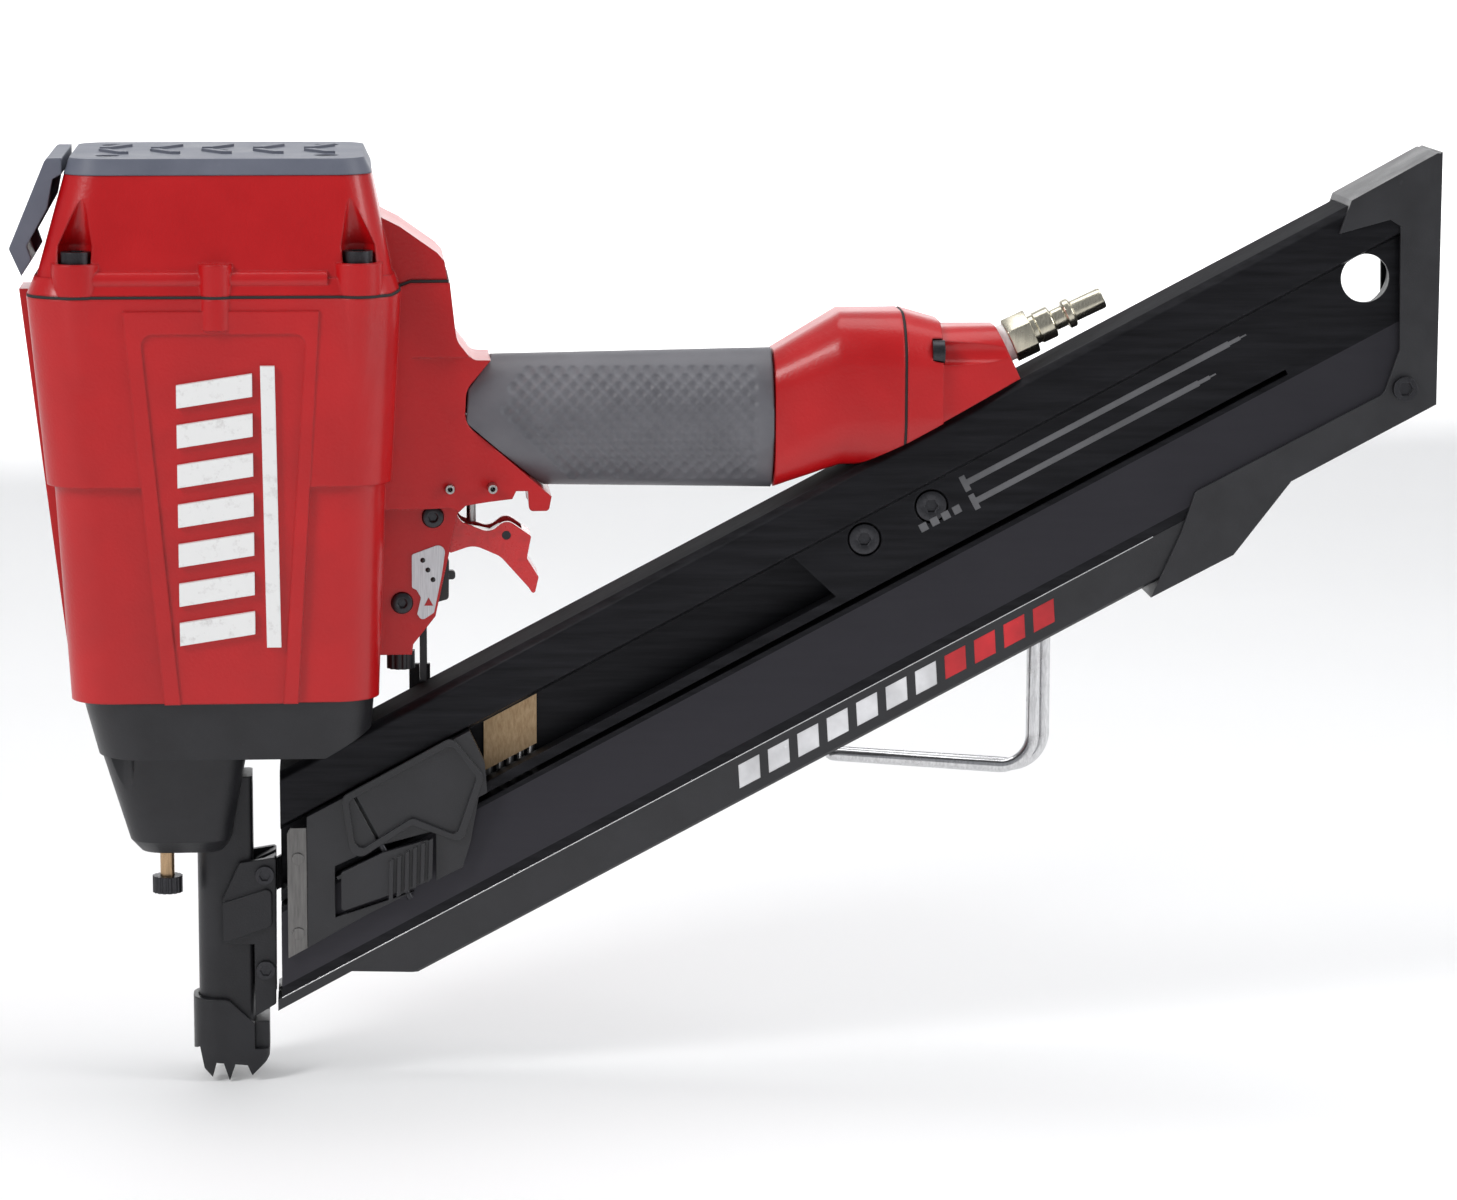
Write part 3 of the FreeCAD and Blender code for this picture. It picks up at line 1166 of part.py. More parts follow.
def makeFasteners():
    seat = size("headTop") - 31.0
    screws = [socketScrew(f"HeadScrew{n}", 5.2, 5.0, 2.95, 28.0, Vector(x, y, seat), upright)
              for n, (x, y) in enumerate(cornerPlaces)]
    keep(group("HeadScrews", screws), "head_cap_bolts")
    top = size("headTop") + 3.0
    screws = [socketScrew(f"CapScrew{n}", 3.9, 2.2, 2.05, 18.0, Vector(x, y, top), upright)
              for n, (x, y) in enumerate(capScrewPlaces)]
    keep(group("CapScrews", screws), "exhaust_cap_screws")
    screws = []
    for n, (x, y) in enumerate(noseBoltPlaces):
        screws.append(socketScrew(f"NoseBolt{n}", 5.0, 4.0, 2.95, 26.0, Vector(x, y, noseBoltSeat),
                                  Vector(0, 0, -1)))
    keep(group("NoseBolts", screws), "nose_base_bolts")
    screws = [socketScrew(f"EndScrew{n}", 4.4, 4.4, 2.55, 24.0, Vector(252.0, y, z), rearward)
              for n, (y, z) in enumerate(endScrewPlaces)]
    keep(group("EndScrews", screws), "end_cap_screws")
    near = Vector(0, -1, 0)
    depth = size("recessHalf") - 2.5
    screws = [socketScrew(f"MagazineBolt{n}", 5.6, 2.4, 2.95, 7.0, Vector(x, -depth, z), near)
              for n, (x, z) in enumerate(boltPlaces)]
    keep(group("MagazineBolts", screws), "magazine_bolts")
    screws = [socketScrew(f"BracketBolt{n}", 5.6, 4.0, 2.95, 16.0, Vector(x, 25.0, z), across)
              for n, (x, z) in enumerate(boltPlaces)]
    keep(group("BracketBolts", screws), "bracket_bolts")
    x, z = rearScrewPlace
    half = size("magazineHalf") + 1.6
    keep(socketScrew("RearScrew", 4.4, 2.6, 2.05, 30.0, Vector(x, -half, z), near), "rear_cap_screw")
    screws = []
    for side in (-1, 1):
        for n, z in enumerate(plateScrewHeights):
            screws.append(socketScrew(f"PlateScrew{side + 1}{n}", 3.4, 1.6, 2.05, 8.0,
                                      Vector(13.2, side * 11.7, z),
                                      Vector(0, side, 0)))
    keep(group("PlateScrews", screws), "nose_plate_screws")


def makeAdjuster():
    """Stop screw with a knurled nut under the nose."""
    x, y = adjusterPlace
    screw = rod("AdjusterRod", 2.55, 34.0, Vector(x, y, 58.0))
    keep(screw, "stop_screw")
    nut = cut("NutBlank", rod("NutOuter", 5.4, 6.0, Vector(x, y, 55.0)),
              rod("NutBore", 2.6, 6.0, Vector(x, y, 55.0)))
    grooves = []
    for index in range(16):
        turn = 2 * math.pi * index / 16
        grooves.append(rod(f"NutGroove{index}", 0.6, 6.0,
                           Vector(x + 5.6 * math.cos(turn), y + 5.6 * math.sin(turn), 55.0)))
    keep(cut("Nut", nut, fuse("NutGrooves", grooves)), "stop_nut")


def makeDepthWheel():
    """Thumb wheel that sets how far the contact linkage rises."""
    place = Vector(62.8, 0, 135.2)
    wheel = rod("WheelDisc", 5.1, 6.4, place)
    flutes = []
    for index in range(12):
        turn = 2 * math.pi * index / 12
        offset = Vector(5.5 * math.cos(turn), 5.5 * math.sin(turn), 0)
        flutes.append(rod(f"WheelFlute{index}", 0.9, 6.4, place + offset))
    bore = rod("WheelBore", "2.05", 6.4, place)
    keep(cut("Wheel", cut("WheelFluted", wheel, fuse("WheelFlutes", flutes)), bore), "depth_wheel")
    keep(rod("WheelStem", 2.0, 17.0, Vector(62.8, 0, 135.2)), "depth_wheel_stem")


makeHousing()
makeGasket()
makeHeadCap()
makeExhaustCap()
makeDeflector()
makeDriveGroup()
makeGripSleeve()
makeEndCap()
makeEndGasket()
makeAirPlug()
makeNoseBase()
makeNosepiece()
makeSidePlates()
makeContactFoot()
makeContactLink()
coilSpring("contact_spring", 3.4, 0.6, 72.6, 109.8, 9, (31.0, 24.0))
makeMagazineBody()
makeLowerCover()
makeRearCap()
makeMagazineBracket()
makeNails()
makePaperTape()
makePusherBody()
makePusherPlate()
makePusherRivets()
makeRelease()
makeReleasePin()
makeTrigger()
makeTriggerLever()
makeSelector()
makeTriggerPins()
makeTriggerValve()
makeTriggerLabel()
makeBadge()
makeHook()
makeHookBracket()
makeFasteners()
makeAdjuster()
makeDepthWheel()

doc.recompute()

# ------------------------------------------------------------------------- export

faults = []
for feature in doc.Objects:
    if "Invalid" in feature.State or "Error" in feature.State:
        faults.append(f"{feature.Name} ({feature.Label}): {feature.State}")
for feature in subparts:
    shape = feature.Shape
    if shape.isNull() or not shape.isValid() or not shape.Solids:
        faults.append(f"{feature.Label}: no valid solid")
if faults:
    raise SystemExit("\n".join(faults))

os.makedirs("parts", exist_ok=True)
for feature in subparts:
    feature.Shape.exportStep(f"parts/{feature.Label}.step")
    print(feature.Label, "solids", len(feature.Shape.Solids), "volume", round(feature.Shape.Volume, 1))
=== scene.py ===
import bpy
import bmesh
import json
import math
from mathutils import Matrix, Vector

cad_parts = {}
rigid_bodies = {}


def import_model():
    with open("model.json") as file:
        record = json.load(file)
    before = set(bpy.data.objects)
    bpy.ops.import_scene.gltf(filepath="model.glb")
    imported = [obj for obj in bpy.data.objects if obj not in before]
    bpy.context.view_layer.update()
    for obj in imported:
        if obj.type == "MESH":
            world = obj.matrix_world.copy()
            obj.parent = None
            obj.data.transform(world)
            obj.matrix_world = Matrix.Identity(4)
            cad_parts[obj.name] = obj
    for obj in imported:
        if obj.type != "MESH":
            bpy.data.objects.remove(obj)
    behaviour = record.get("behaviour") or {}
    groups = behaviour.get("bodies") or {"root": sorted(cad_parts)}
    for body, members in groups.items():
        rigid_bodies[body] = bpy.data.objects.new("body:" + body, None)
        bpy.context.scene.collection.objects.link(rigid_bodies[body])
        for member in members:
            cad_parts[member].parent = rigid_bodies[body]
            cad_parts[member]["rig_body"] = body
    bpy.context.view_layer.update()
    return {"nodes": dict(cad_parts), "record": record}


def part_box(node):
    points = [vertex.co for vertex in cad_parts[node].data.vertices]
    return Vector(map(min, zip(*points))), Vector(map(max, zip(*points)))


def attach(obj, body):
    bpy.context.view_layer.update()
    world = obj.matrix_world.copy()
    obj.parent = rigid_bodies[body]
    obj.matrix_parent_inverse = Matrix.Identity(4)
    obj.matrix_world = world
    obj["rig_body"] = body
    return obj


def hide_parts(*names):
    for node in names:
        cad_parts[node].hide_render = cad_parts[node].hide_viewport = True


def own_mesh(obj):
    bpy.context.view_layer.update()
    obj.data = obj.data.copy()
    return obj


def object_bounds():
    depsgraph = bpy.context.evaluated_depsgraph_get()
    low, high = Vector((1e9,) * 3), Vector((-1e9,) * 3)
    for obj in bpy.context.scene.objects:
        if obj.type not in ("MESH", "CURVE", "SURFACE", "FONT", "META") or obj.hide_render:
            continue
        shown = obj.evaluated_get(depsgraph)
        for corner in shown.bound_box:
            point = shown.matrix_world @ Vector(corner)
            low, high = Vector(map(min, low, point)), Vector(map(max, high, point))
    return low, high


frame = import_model()
nodeSlot = {row["node"]: row["material_slot"] for row in frame["record"]["subparts"]}
print("frame loaded,", len(frame["nodes"]), "nodes")


# a shader socket that takes arithmetic, and a bench that adds the nodes

class Signal:
    def __init__(self, bench, socket):
        self.bench = bench
        self.socket = socket

    def maths(self, operation, first, second):
        values = {0: first, 1: second}
        return self.bench.add("ShaderNodeMath", {"operation": operation}, values)

    def __add__(self, other):
        return self.maths("ADD", self, other)

    __radd__ = __add__

    def __sub__(self, other):
        return self.maths("SUBTRACT", self, other)

    def __rsub__(self, other):
        return self.maths("SUBTRACT", other, self)

    def __mul__(self, other):
        return self.maths("MULTIPLY", self, other)

    __rmul__ = __mul__

    def __truediv__(self, other):
        return self.maths("DIVIDE", self, other)

    def above(self, edge):
        return self.maths("GREATER_THAN", self, edge)

    def below(self, edge):
        return self.maths("LESS_THAN", self, edge)

    def ramp(self, low, high, start=0.0, end=1.0):
        values = {"Value": self, "From Min": low, "From Max": high, "To Min": start, "To Max": end}
        return self.bench.add("ShaderNodeMapRange", {"clamp": True}, values)


class Bench:
    def __init__(self, name):
        self.material = bpy.data.materials.new(name)
        self.material.use_nodes = True
        self.tree = self.material.node_tree
        self.shader = self.tree.nodes["Principled BSDF"]
        place = self.tree.nodes.new("ShaderNodeTexCoord")
        self.place = Signal(self, place.outputs["Object"])

    def add(self, kind, settings=None, values=None, output=0):
        node = self.tree.nodes.new(kind)
        for key, value in (settings or {}).items():
            setattr(node, key, value)
        for key, value in (values or {}).items():
            if isinstance(value, Signal):
                self.tree.links.new(value.socket, node.inputs[key])
            else:
                node.inputs[key].default_value = value
        return Signal(self, node.outputs[output])

    def noise(self, scale, detail=3.0, rough=0.55, stretch=(1, 1, 1), turn=0.0):
        values = {"Vector": self.place, "Scale": stretch, "Rotation": (0, turn, 0)}
        spot = self.add("ShaderNodeMapping", {"vector_type": "POINT"}, values)
        return self.add("ShaderNodeTexNoise", {}, {"Vector": spot, "Scale": scale, "Detail": detail,
                                                   "Roughness": rough})

    def axes(self, turn=0.0):
        spot = self.add("ShaderNodeMapping", {"vector_type": "POINT"}, {"Vector": self.place,
                                                                       "Rotation": (0, turn, 0)})
        split = self.add("ShaderNodeSeparateXYZ", {}, {"Vector": spot})
        return [Signal(self, split.socket.node.outputs[n]) for n in range(3)]

    def blend(self, mask, first, second):
        first = first if isinstance(first, Signal) else (*first, 1)
        second = second if isinstance(second, Signal) else (*second, 1)
        return self.add("ShaderNodeMix", {"data_type": "RGBA"}, {0: mask, 6: first, 7: second}, 2)

    def finish(self, base, roughness, metallic=0.0, heights=(), edge=0.0, **fixed):
        sockets = self.shader.inputs
        for key, value in (("Base Color", base), ("Roughness", roughness), ("Metallic", metallic)):
            if isinstance(value, Signal):
                self.tree.links.new(value.socket, sockets[key])
            elif isinstance(value, tuple):
                sockets[key].default_value = (*value, 1)
            else:
                sockets[key].default_value = value
        normal = None
        if edge:
            normal = self.add("ShaderNodeBevel", {"samples": 4}, {"Radius": edge})
        for height, distance, strength in heights:
            values = {"Height": height, "Distance": distance, "Strength": strength}
            if normal:
                values["Normal"] = normal
            normal = self.add("ShaderNodeBump", {}, values)
        if normal:
            self.tree.links.new(normal.socket, sockets["Normal"])
        for key, value in fixed.items():
            sockets[key.replace("_", " ")].default_value = value
        return self.material


# finishes, one maker each

def makeRedCoat():
    coat = {"peel": 900.0, "edge": 0.0012}
    bench = Bench("redPowderCoat")
    peel = bench.noise(coat["peel"], 2.0, 0.5)
    cloud = bench.noise(28.0, 3.0)
    grime = bench.noise(160.0, 5.0, 0.7)
    tone = bench.blend(cloud.ramp(0.35, 0.7), (0.43, 0.002, 0.004), (0.51, 0.0035, 0.006))
    tone = bench.blend(grime.ramp(0.62, 0.8, 0.0, 0.25), tone, (0.3, 0.003, 0.006))
    rough = cloud.ramp(0.3, 0.7, 0.27, 0.36) + peel * 0.08
    return bench.finish(tone, rough, 0.0, [(peel, 0.00016, 0.55)], coat["edge"],
                        Coat_Weight=0.22, Coat_Roughness=0.14, Specular_IOR_Level=0.38)


def makeRedTrigger():
    bench = Bench("redTrigger")
    peel = bench.noise(1400.0, 2.0)
    rub = bench.noise(220.0, 4.0, 0.65)
    tone = bench.blend(rub.ramp(0.5, 0.75), (0.6, 0.012, 0.014), (0.46, 0.01, 0.012))
    return bench.finish(tone, rub.ramp(0.3, 0.7, 0.22, 0.36), 0.0, [(peel, 0.00008, 0.5)], 0.0006,
                        Coat_Weight=0.4, Coat_Roughness=0.1)


def makeGreyCap():
    bench = Bench("slateCap")
    grain = bench.noise(2400.0, 2.0)
    cloud = bench.noise(45.0, 4.0)
    scuff = bench.noise(90.0, 6.0, 0.7, (1, 4, 1))
    tone = bench.blend(cloud.ramp(0.3, 0.7), (0.105, 0.115, 0.15), (0.14, 0.15, 0.19))
    tone = bench.blend(scuff.ramp(0.62, 0.8, 0.0, 0.3), tone, (0.26, 0.27, 0.31))
    return bench.finish(tone, cloud.ramp(0.3, 0.7, 0.42, 0.56), 0.0, [(grain, 0.00008, 0.6)], 0.0008)


def makeDarkPlastic(name, shade, rough, grainSize=2200.0, edge=0.0005):
    bench = Bench(name)
    grain = bench.noise(grainSize, 2.0)
    cloud = bench.noise(60.0, 4.0)
    dust = bench.noise(320.0, 5.0, 0.7)
    tone = bench.blend(cloud.ramp(0.3, 0.7), shade, tuple(part * 1.6 for part in shade))
    tone = bench.blend(dust.ramp(0.64, 0.8, 0.0, 0.22), tone, tuple(part * 4 + 0.01 for part in shade))
    return bench.finish(tone, cloud.ramp(0.3, 0.7, rough - 0.06, rough + 0.08), 0.0,
                        [(grain, 0.00007, 0.55)], edge)


def makeBlackCast():
    bench = Bench("blackCast")
    pits = bench.noise(1300.0, 3.0, 0.6)
    cloud = bench.noise(50.0, 4.0)
    wear = bench.noise(130.0, 6.0, 0.75)
    tone = bench.blend(cloud.ramp(0.3, 0.7), (0.012, 0.012, 0.014), (0.022, 0.022, 0.025))
    tone = bench.blend(wear.ramp(0.66, 0.8, 0.0, 0.35), tone, (0.07, 0.07, 0.075))
    return bench.finish(tone, cloud.ramp(0.3, 0.7, 0.34, 0.48), 0.25, [(pits, 0.00014, 0.6)], 0.0008)


magazineTurn = math.radians(27.75)


def makeRailBlack():
    bench = Bench("railBlack")
    streak = bench.noise(420.0, 4.0, 0.6, (0.06, 1, 1), magazineTurn)
    cloud = bench.noise(35.0, 4.0)
    nick = bench.noise(260.0, 6.0, 0.75, (0.4, 1, 1), magazineTurn)
    tone = bench.blend(streak.ramp(0.3, 0.7), (0.0095, 0.0095, 0.011), (0.019, 0.019, 0.022))
    tone = bench.blend(nick.ramp(0.7, 0.8, 0.0, 0.5), tone, (0.09, 0.09, 0.095))
    rise = bench.axes(magazineTurn)[2]
    # painted sheen: the sloped band between the double groove and the hairline is coloured lighter, standing
    # in for the sheen its tilted face catches
    paintedSheenBand = rise.above(0.0102) * rise.below(0.0338)
    tone = bench.blend(paintedSheenBand * 0.8, tone, (0.05, 0.048, 0.056))
    top = rise.above(0.0792)
    rough = cloud.ramp(0.3, 0.7, 0.3, 0.4) + streak * 0.06 + top * 0.5
    return bench.finish(tone, rough, 0.55 - top * 0.55, [(streak, 0.00004, 0.4)], 0.0009,
                        Specular_IOR_Level=0.2)


def makeSteel(name, tone, rough, brush=(1, 1, 0.08), edge=0.0004, stain=(0.3, 0.28, 0.25)):
    bench = Bench(name)
    lines = bench.noise(1500.0, 3.0, 0.6, brush)
    cloud = bench.noise(110.0, 4.0)
    dark = tuple(part * 0.72 for part in tone)
    mixed = bench.blend(lines.ramp(0.3, 0.7), dark, tone)
    mixed = bench.blend(cloud.ramp(0.6, 0.8, 0.0, 0.3), mixed, stain)
    return bench.finish(mixed, cloud.ramp(0.3, 0.7, rough - 0.06, rough + 0.1), 1.0,
                        [(lines, 0.00003, 0.4)], edge)


def makeRubber():
    bench = Bench("gripRubber")
    grain = bench.noise(3000.0, 2.0)
    cloud = bench.noise(70.0, 4.0)
    tone = bench.blend(cloud.ramp(0.3, 0.7), (0.115, 0.115, 0.128), (0.15, 0.15, 0.165))
    return bench.finish(tone, cloud.ramp(0.3, 0.7, 0.42, 0.54), 0.0, [(grain, 0.00006, 0.5)], 0.0,
                        Specular_IOR_Level=0.42)


def makeTape():
    bench = Bench("threadTape")
    fold = bench.noise(900.0, 5.0, 0.7, (1, 0.3, 0.3), math.radians(20))
    tone = bench.blend(fold.ramp(0.35, 0.7), (0.72, 0.72, 0.7), (0.88, 0.88, 0.86))
    return bench.finish(tone, 0.6, 0.0, [(fold, 0.0003, 0.7)], 0.0004)


def makeKraft():
    bench = Bench("kraftPaper")
    fibre = bench.noise(1100.0, 6.0, 0.7, (1, 1, 0.25), magazineTurn)
    tone = bench.blend(fibre.ramp(0.3, 0.75), (0.42, 0.26, 0.13), (0.68, 0.5, 0.3))
    return bench.finish(tone, 0.85, 0.0, [(fibre, 0.0001, 0.5)])


def makeLabel():
    bench = Bench("foilLabel")
    lines = bench.noise(2500.0, 2.0, 0.5, (1, 1, 0.05))
    cloud = bench.noise(200.0, 4.0)
    tone = bench.blend(lines.ramp(0.3, 0.7), (0.5, 0.5, 0.52), (0.66, 0.66, 0.68))
    return bench.finish(tone, cloud.ramp(0.3, 0.7, 0.28, 0.4), 0.7, [(lines, 0.00002, 0.3)])


def makeBadgeWhite():
    bench = Bench("badgeWhite")
    grain = bench.noise(1500.0, 3.0)
    wear = bench.noise(240.0, 6.0, 0.7)
    tone = bench.blend(wear.ramp(0.55, 0.75), (0.84, 0.84, 0.83), (0.62, 0.6, 0.59))
    return bench.finish(tone, wear.ramp(0.3, 0.7, 0.38, 0.5), 0.0, [(grain, 0.00006, 0.5)], 0.0005)


finishes = {
    "red_casting": makeRedCoat(),
    "red_trigger": makeRedTrigger(),
    "grey_cap": makeGreyCap(),
    "black_gasket": makeDarkPlastic("gasketBlack", (0.012, 0.012, 0.012), 0.7),
    "grip_rubber": makeRubber(),
    "bumper_rubber": makeDarkPlastic("bumperRubber", (0.05, 0.04, 0.03), 0.7),
    "black_cast": makeBlackCast(),
    "black_anodised": makeRailBlack(),
    "black_plastic": makeDarkPlastic("blackPlastic", (0.014, 0.014, 0.016), 0.38),
    "black_screw": makeSteel("blackOxide", (0.06, 0.06, 0.065), 0.36, (1, 1, 1), 0.0004, (0.12, 0.11, 0.1)),
    "bare_steel": makeSteel("bareSteel", (0.5, 0.49, 0.48), 0.3),
    "piston_alloy": makeSteel("pistonAlloy", (0.6, 0.6, 0.62), 0.32),
    "bright_wire": makeSteel("brightWire", (0.72, 0.72, 0.73), 0.2, (1, 1, 0.2), 0.0002, (0.4, 0.38, 0.35)),
    "hook_alloy": makeSteel("hookAlloy", (0.07, 0.07, 0.075), 0.4),
    "plug_steel": makeSteel("plugSteel", (0.66, 0.62, 0.5), 0.24),
    "copper_steel": makeSteel("yellowThread", (0.5, 0.34, 0.2), 0.3),
    "white_tape": makeTape(),
    "kraft_paper": makeKraft(),
    "silver_label": makeLabel(),
    "white_badge": makeBadgeWhite(),
}
print("finishes made,", len(finishes))


# pieces carried over from the CAD, merged and shaded smooth

def bodyOf(node):
    return frame["nodes"][node]["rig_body"]


def linkPiece(name, mesh, node, finish=None):
    piece = bpy.data.objects.new(name, mesh)
    bpy.context.scene.collection.objects.link(piece)
    mesh.materials.clear()
    mesh.materials.append(finish or finishes[nodeSlot[node]])
    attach(piece, bodyOf(node))
    return piece


def newShape(name, work, node, finish=None, smooth=True):
    # a mesh of this script's own, finished and riding as its CAD node does
    bmesh.ops.recalc_face_normals(work, faces=work.faces)
    for face in work.faces:
        face.smooth = smooth
    mesh = bpy.data.meshes.new(name + "Mesh")
    work.to_mesh(mesh)
    work.free()
    return linkPiece(name, mesh, node, finish)


def carryOver(node, crease=32.0):
    work = bmesh.new()
    work.from_mesh(frame["nodes"][node].data)
    bmesh.ops.remove_doubles(work, verts=work.verts, dist=2e-6)
    for face in work.faces:
        face.smooth = True
    for edge in work.edges:
        edge.smooth = edge.is_manifold and edge.calc_face_angle(0.0) < math.radians(crease)
    mesh = bpy.data.meshes.new(node + "Mesh")
    work.to_mesh(mesh)
    work.free()
    piece = linkPiece(node + "_piece", mesh, node)
    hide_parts(node)
    return piece


# grip: pressed dimples over both flanks

def between(points, level):
    # straight-line reading of a (level, value) list
    for (lowAt, lowValue), (highAt, highValue) in zip(points, points[1:]):
        if level <= highAt:
            part = (level - lowAt) / (highAt - lowAt)
            return lowValue + max(part, 0.0) * (highValue - lowValue)
    return points[-1][1]


grip = {"front": 0.084, "back": 0.1958, "rings": 170, "around": 240, "wall": 0.0034,
        "low": (0.2252, 0.02355, 0.01855), "high": (0.2253, 0.02515, 0.01955),
        "frontEdge": [(0.1992, 0.1174), (0.2262, 0.0864), (0.2378, 0.0871), (0.2482, 0.0955),
                      (0.252, 0.0955)],
        "dimpleEdge": [(0.2045, 0.124), (0.2118, 0.1185), (0.2305, 0.099), (0.2425, 0.1045), (0.2435, 0.105)],
        "pitch": 0.0053, "row": 0.00262, "radius": 0.002, "depth": 0.0009, "centre": 0.2250,
        "lowest": 0.2045, "highest": 0.2436, "last": 0.1885}


def dimple(x, z):
    # depth of the nearest dimple at this place on a flank
    row = round((z - grip["centre"]) / grip["row"])
    deep = 0.0
    for near in (row - 1, row, row + 1):
        level = grip["centre"] + near * grip["row"]
        shift = grip["pitch"] / 2 if near % 2 else 0.0
        column = round((x - shift) / grip["pitch"])
        middle = column * grip["pitch"] + shift
        if not grip["lowest"] < level < grip["highest"]:
            continue
        if not between(grip["dimpleEdge"], level) <= middle <= grip["last"]:
            continue
        part = math.hypot(x - middle, z - level) / grip["radius"]
        if part < 1.0:
            deep = max(deep, grip["depth"] * (1 - part * part) ** 0.6)
    return deep


def makeGrip():
    work = bmesh.new()
    bmesh.ops.create_circle(work, segments=grip["around"], radius=1.0)
    upright = Matrix.Rotation(math.radians(90), 3, "Y")
    bmesh.ops.rotate(work, verts=work.verts, cent=(0, 0, 0), matrix=upright)
    edges = list(work.edges)
    for ring in range(grip["rings"]):
        grown = bmesh.ops.extrude_edge_only(work, edges=edges)["geom"]
        edges = [part for part in grown if isinstance(part, bmesh.types.BMEdge)
                 and all(abs(vert.co.x - ring) < 0.5 for vert in part.verts)]
        fresh = [part for part in grown if isinstance(part, bmesh.types.BMVert)]
        bmesh.ops.translate(work, verts=fresh, vec=(1, 0, 0))
        edges = [part for part in edges if part.verts[0] in fresh and part.verts[1] in fresh]
    for vert in work.verts:
        share = vert.co.x / grip["rings"]
        middle, high, wide = [first + (second - first) * share
                              for first, second in zip(grip["low"], grip["high"])]
        y, z = vert.co.y * wide, middle + vert.co.z * high
        start = between(grip["frontEdge"], z)
        x = start + (grip["back"] - start) * share
        sink = dimple(x, z) * min(1.0, abs(vert.co.y) * 2.0)
        vert.co = (x, y - math.copysign(sink, y), z)
    piece = newShape("gripSleeve", work, "grip_sleeve")
    wall = piece.modifiers.new("wall", "SOLIDIFY")
    wall.thickness = grip["wall"]
    wall.offset = -1
    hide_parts("grip_sleeve")


makeGrip()
print("grip made")


# turned pieces: a profile of (radius, height) spun about its axis

def turned(work, profile, base, direction, socket=0.0, steps=48):
    start = set(work.verts)
    line = [work.verts.new((radius, 0, height)) for radius, height in profile]
    edges = [work.edges.new(pair) for pair in zip(line, line[1:])]
    bmesh.ops.spin(work, geom=line + edges, cent=(0, 0, 0), axis=(0, 0, 1), angle=math.tau, steps=steps,
                   use_merge=True)
    fresh = [vert for vert in work.verts if vert not in start]
    bmesh.ops.remove_doubles(work, verts=fresh, dist=1e-7)
    fresh = [vert for vert in work.verts if vert not in start]
    for vert in fresh:
        reach = math.hypot(vert.co.x, vert.co.y)
        if 0 < reach <= socket * 1.01:
            turn = (math.atan2(vert.co.y, vert.co.x) + math.tau) % (math.pi / 3) - math.pi / 6
            vert.co.x /= math.cos(turn) / math.cos(math.pi / 6)
            vert.co.y /= math.cos(turn) / math.cos(math.pi / 6)
    aim = Vector(direction).to_track_quat("Z", "Y").to_matrix()
    bmesh.ops.rotate(work, verts=fresh, cent=(0, 0, 0), matrix=aim)
    bmesh.ops.translate(work, verts=fresh, vec=base)


def creased(piece, angle=30.0):
    # sharp edges stay sharp on a smooth-shaded mesh
    work = bmesh.new()
    work.from_mesh(piece.data)
    for edge in work.edges:
        edge.smooth = edge.is_manifold and edge.calc_face_angle(0.0) < math.radians(angle)
    work.to_mesh(piece.data)
    work.free()


def socketHead(radius, high, socket, deep, dome=0.3):
    # closed profile of a rounded head with a hexagon socket, from its centre outwards
    soft = min(radius, high) * dome
    return [(0, high - deep), (socket, high - deep), (socket, high - 0.0003), (socket * 1.15, high),
            (radius - soft, high), (radius - soft * 0.3, high - soft * 0.3), (radius, high - soft),
            (radius, 0.0002), (radius - 0.0002, 0), (0, 0)]


bracketPins = {"places": {"trigger_pin": (0.0744, 0.1920), "selector_pin": (0.0632, 0.1611)},
               "face": 0.0140, "radius": 0.0040, "high": 0.0014, "socket": 0.0017, "deep": 0.0012}


def makeBracketPin(node, x, z):
    work = bmesh.new()
    head = socketHead(bracketPins["radius"], bracketPins["high"], bracketPins["socket"],
                      bracketPins["deep"], 0.9)
    for side in (-1, 1):
        seat = (x, side * (bracketPins["face"] + 0.00005), z)
        turned(work, head, seat, (0, side, 0), bracketPins["socket"])
    low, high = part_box(node)
    long = high.y - low.y - 0.004
    shank = [(0, 0), (0.0029, 0), (0.003, 0.0002), (0.003, long - 0.0002), (0.0029, long), (0, long)]
    turned(work, shank, (x, low.y + 0.002, z), (0, 1, 0))
    pin = newShape(node + "Turned", work, node)
    creased(pin)
    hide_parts(node)


for pinNode, (pinX, pinZ) in bracketPins["places"].items():
    makeBracketPin(pinNode, pinX, pinZ)


magazineScrews = {"places": [(0.2291, 0.1823), (0.2532, 0.1941)], "seat": -0.0100, "radius": 0.0056,
                  "high": 0.0024, "socket": 0.0024, "deep": 0.0016, "shank": 0.00295, "long": 0.0069}


def makeMagazineScrews():
    work = bmesh.new()
    head = socketHead(magazineScrews["radius"], magazineScrews["high"], magazineScrews["socket"],
                      magazineScrews["deep"], 0.25)
    radius, long = magazineScrews["shank"], magazineScrews["long"]
    for x, z in magazineScrews["places"]:
        turned(work, head, (x, magazineScrews["seat"], z), (0, -1, 0), magazineScrews["socket"])
        turned(work, [(0, 0), (radius, 0), (radius, long), (0, long)],
               (x, magazineScrews["seat"] + long + 0.00005, z), (0, -1, 0), 0, 24)
    screws = newShape("magazineScrews", work, "magazine_bolts")
    creased(screws)
    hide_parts("magazine_bolts")


makeMagazineScrews()


plug = {"centre": (0.2796, 0, 0.2509), "angle": 25.0, "flats": 0.0143}


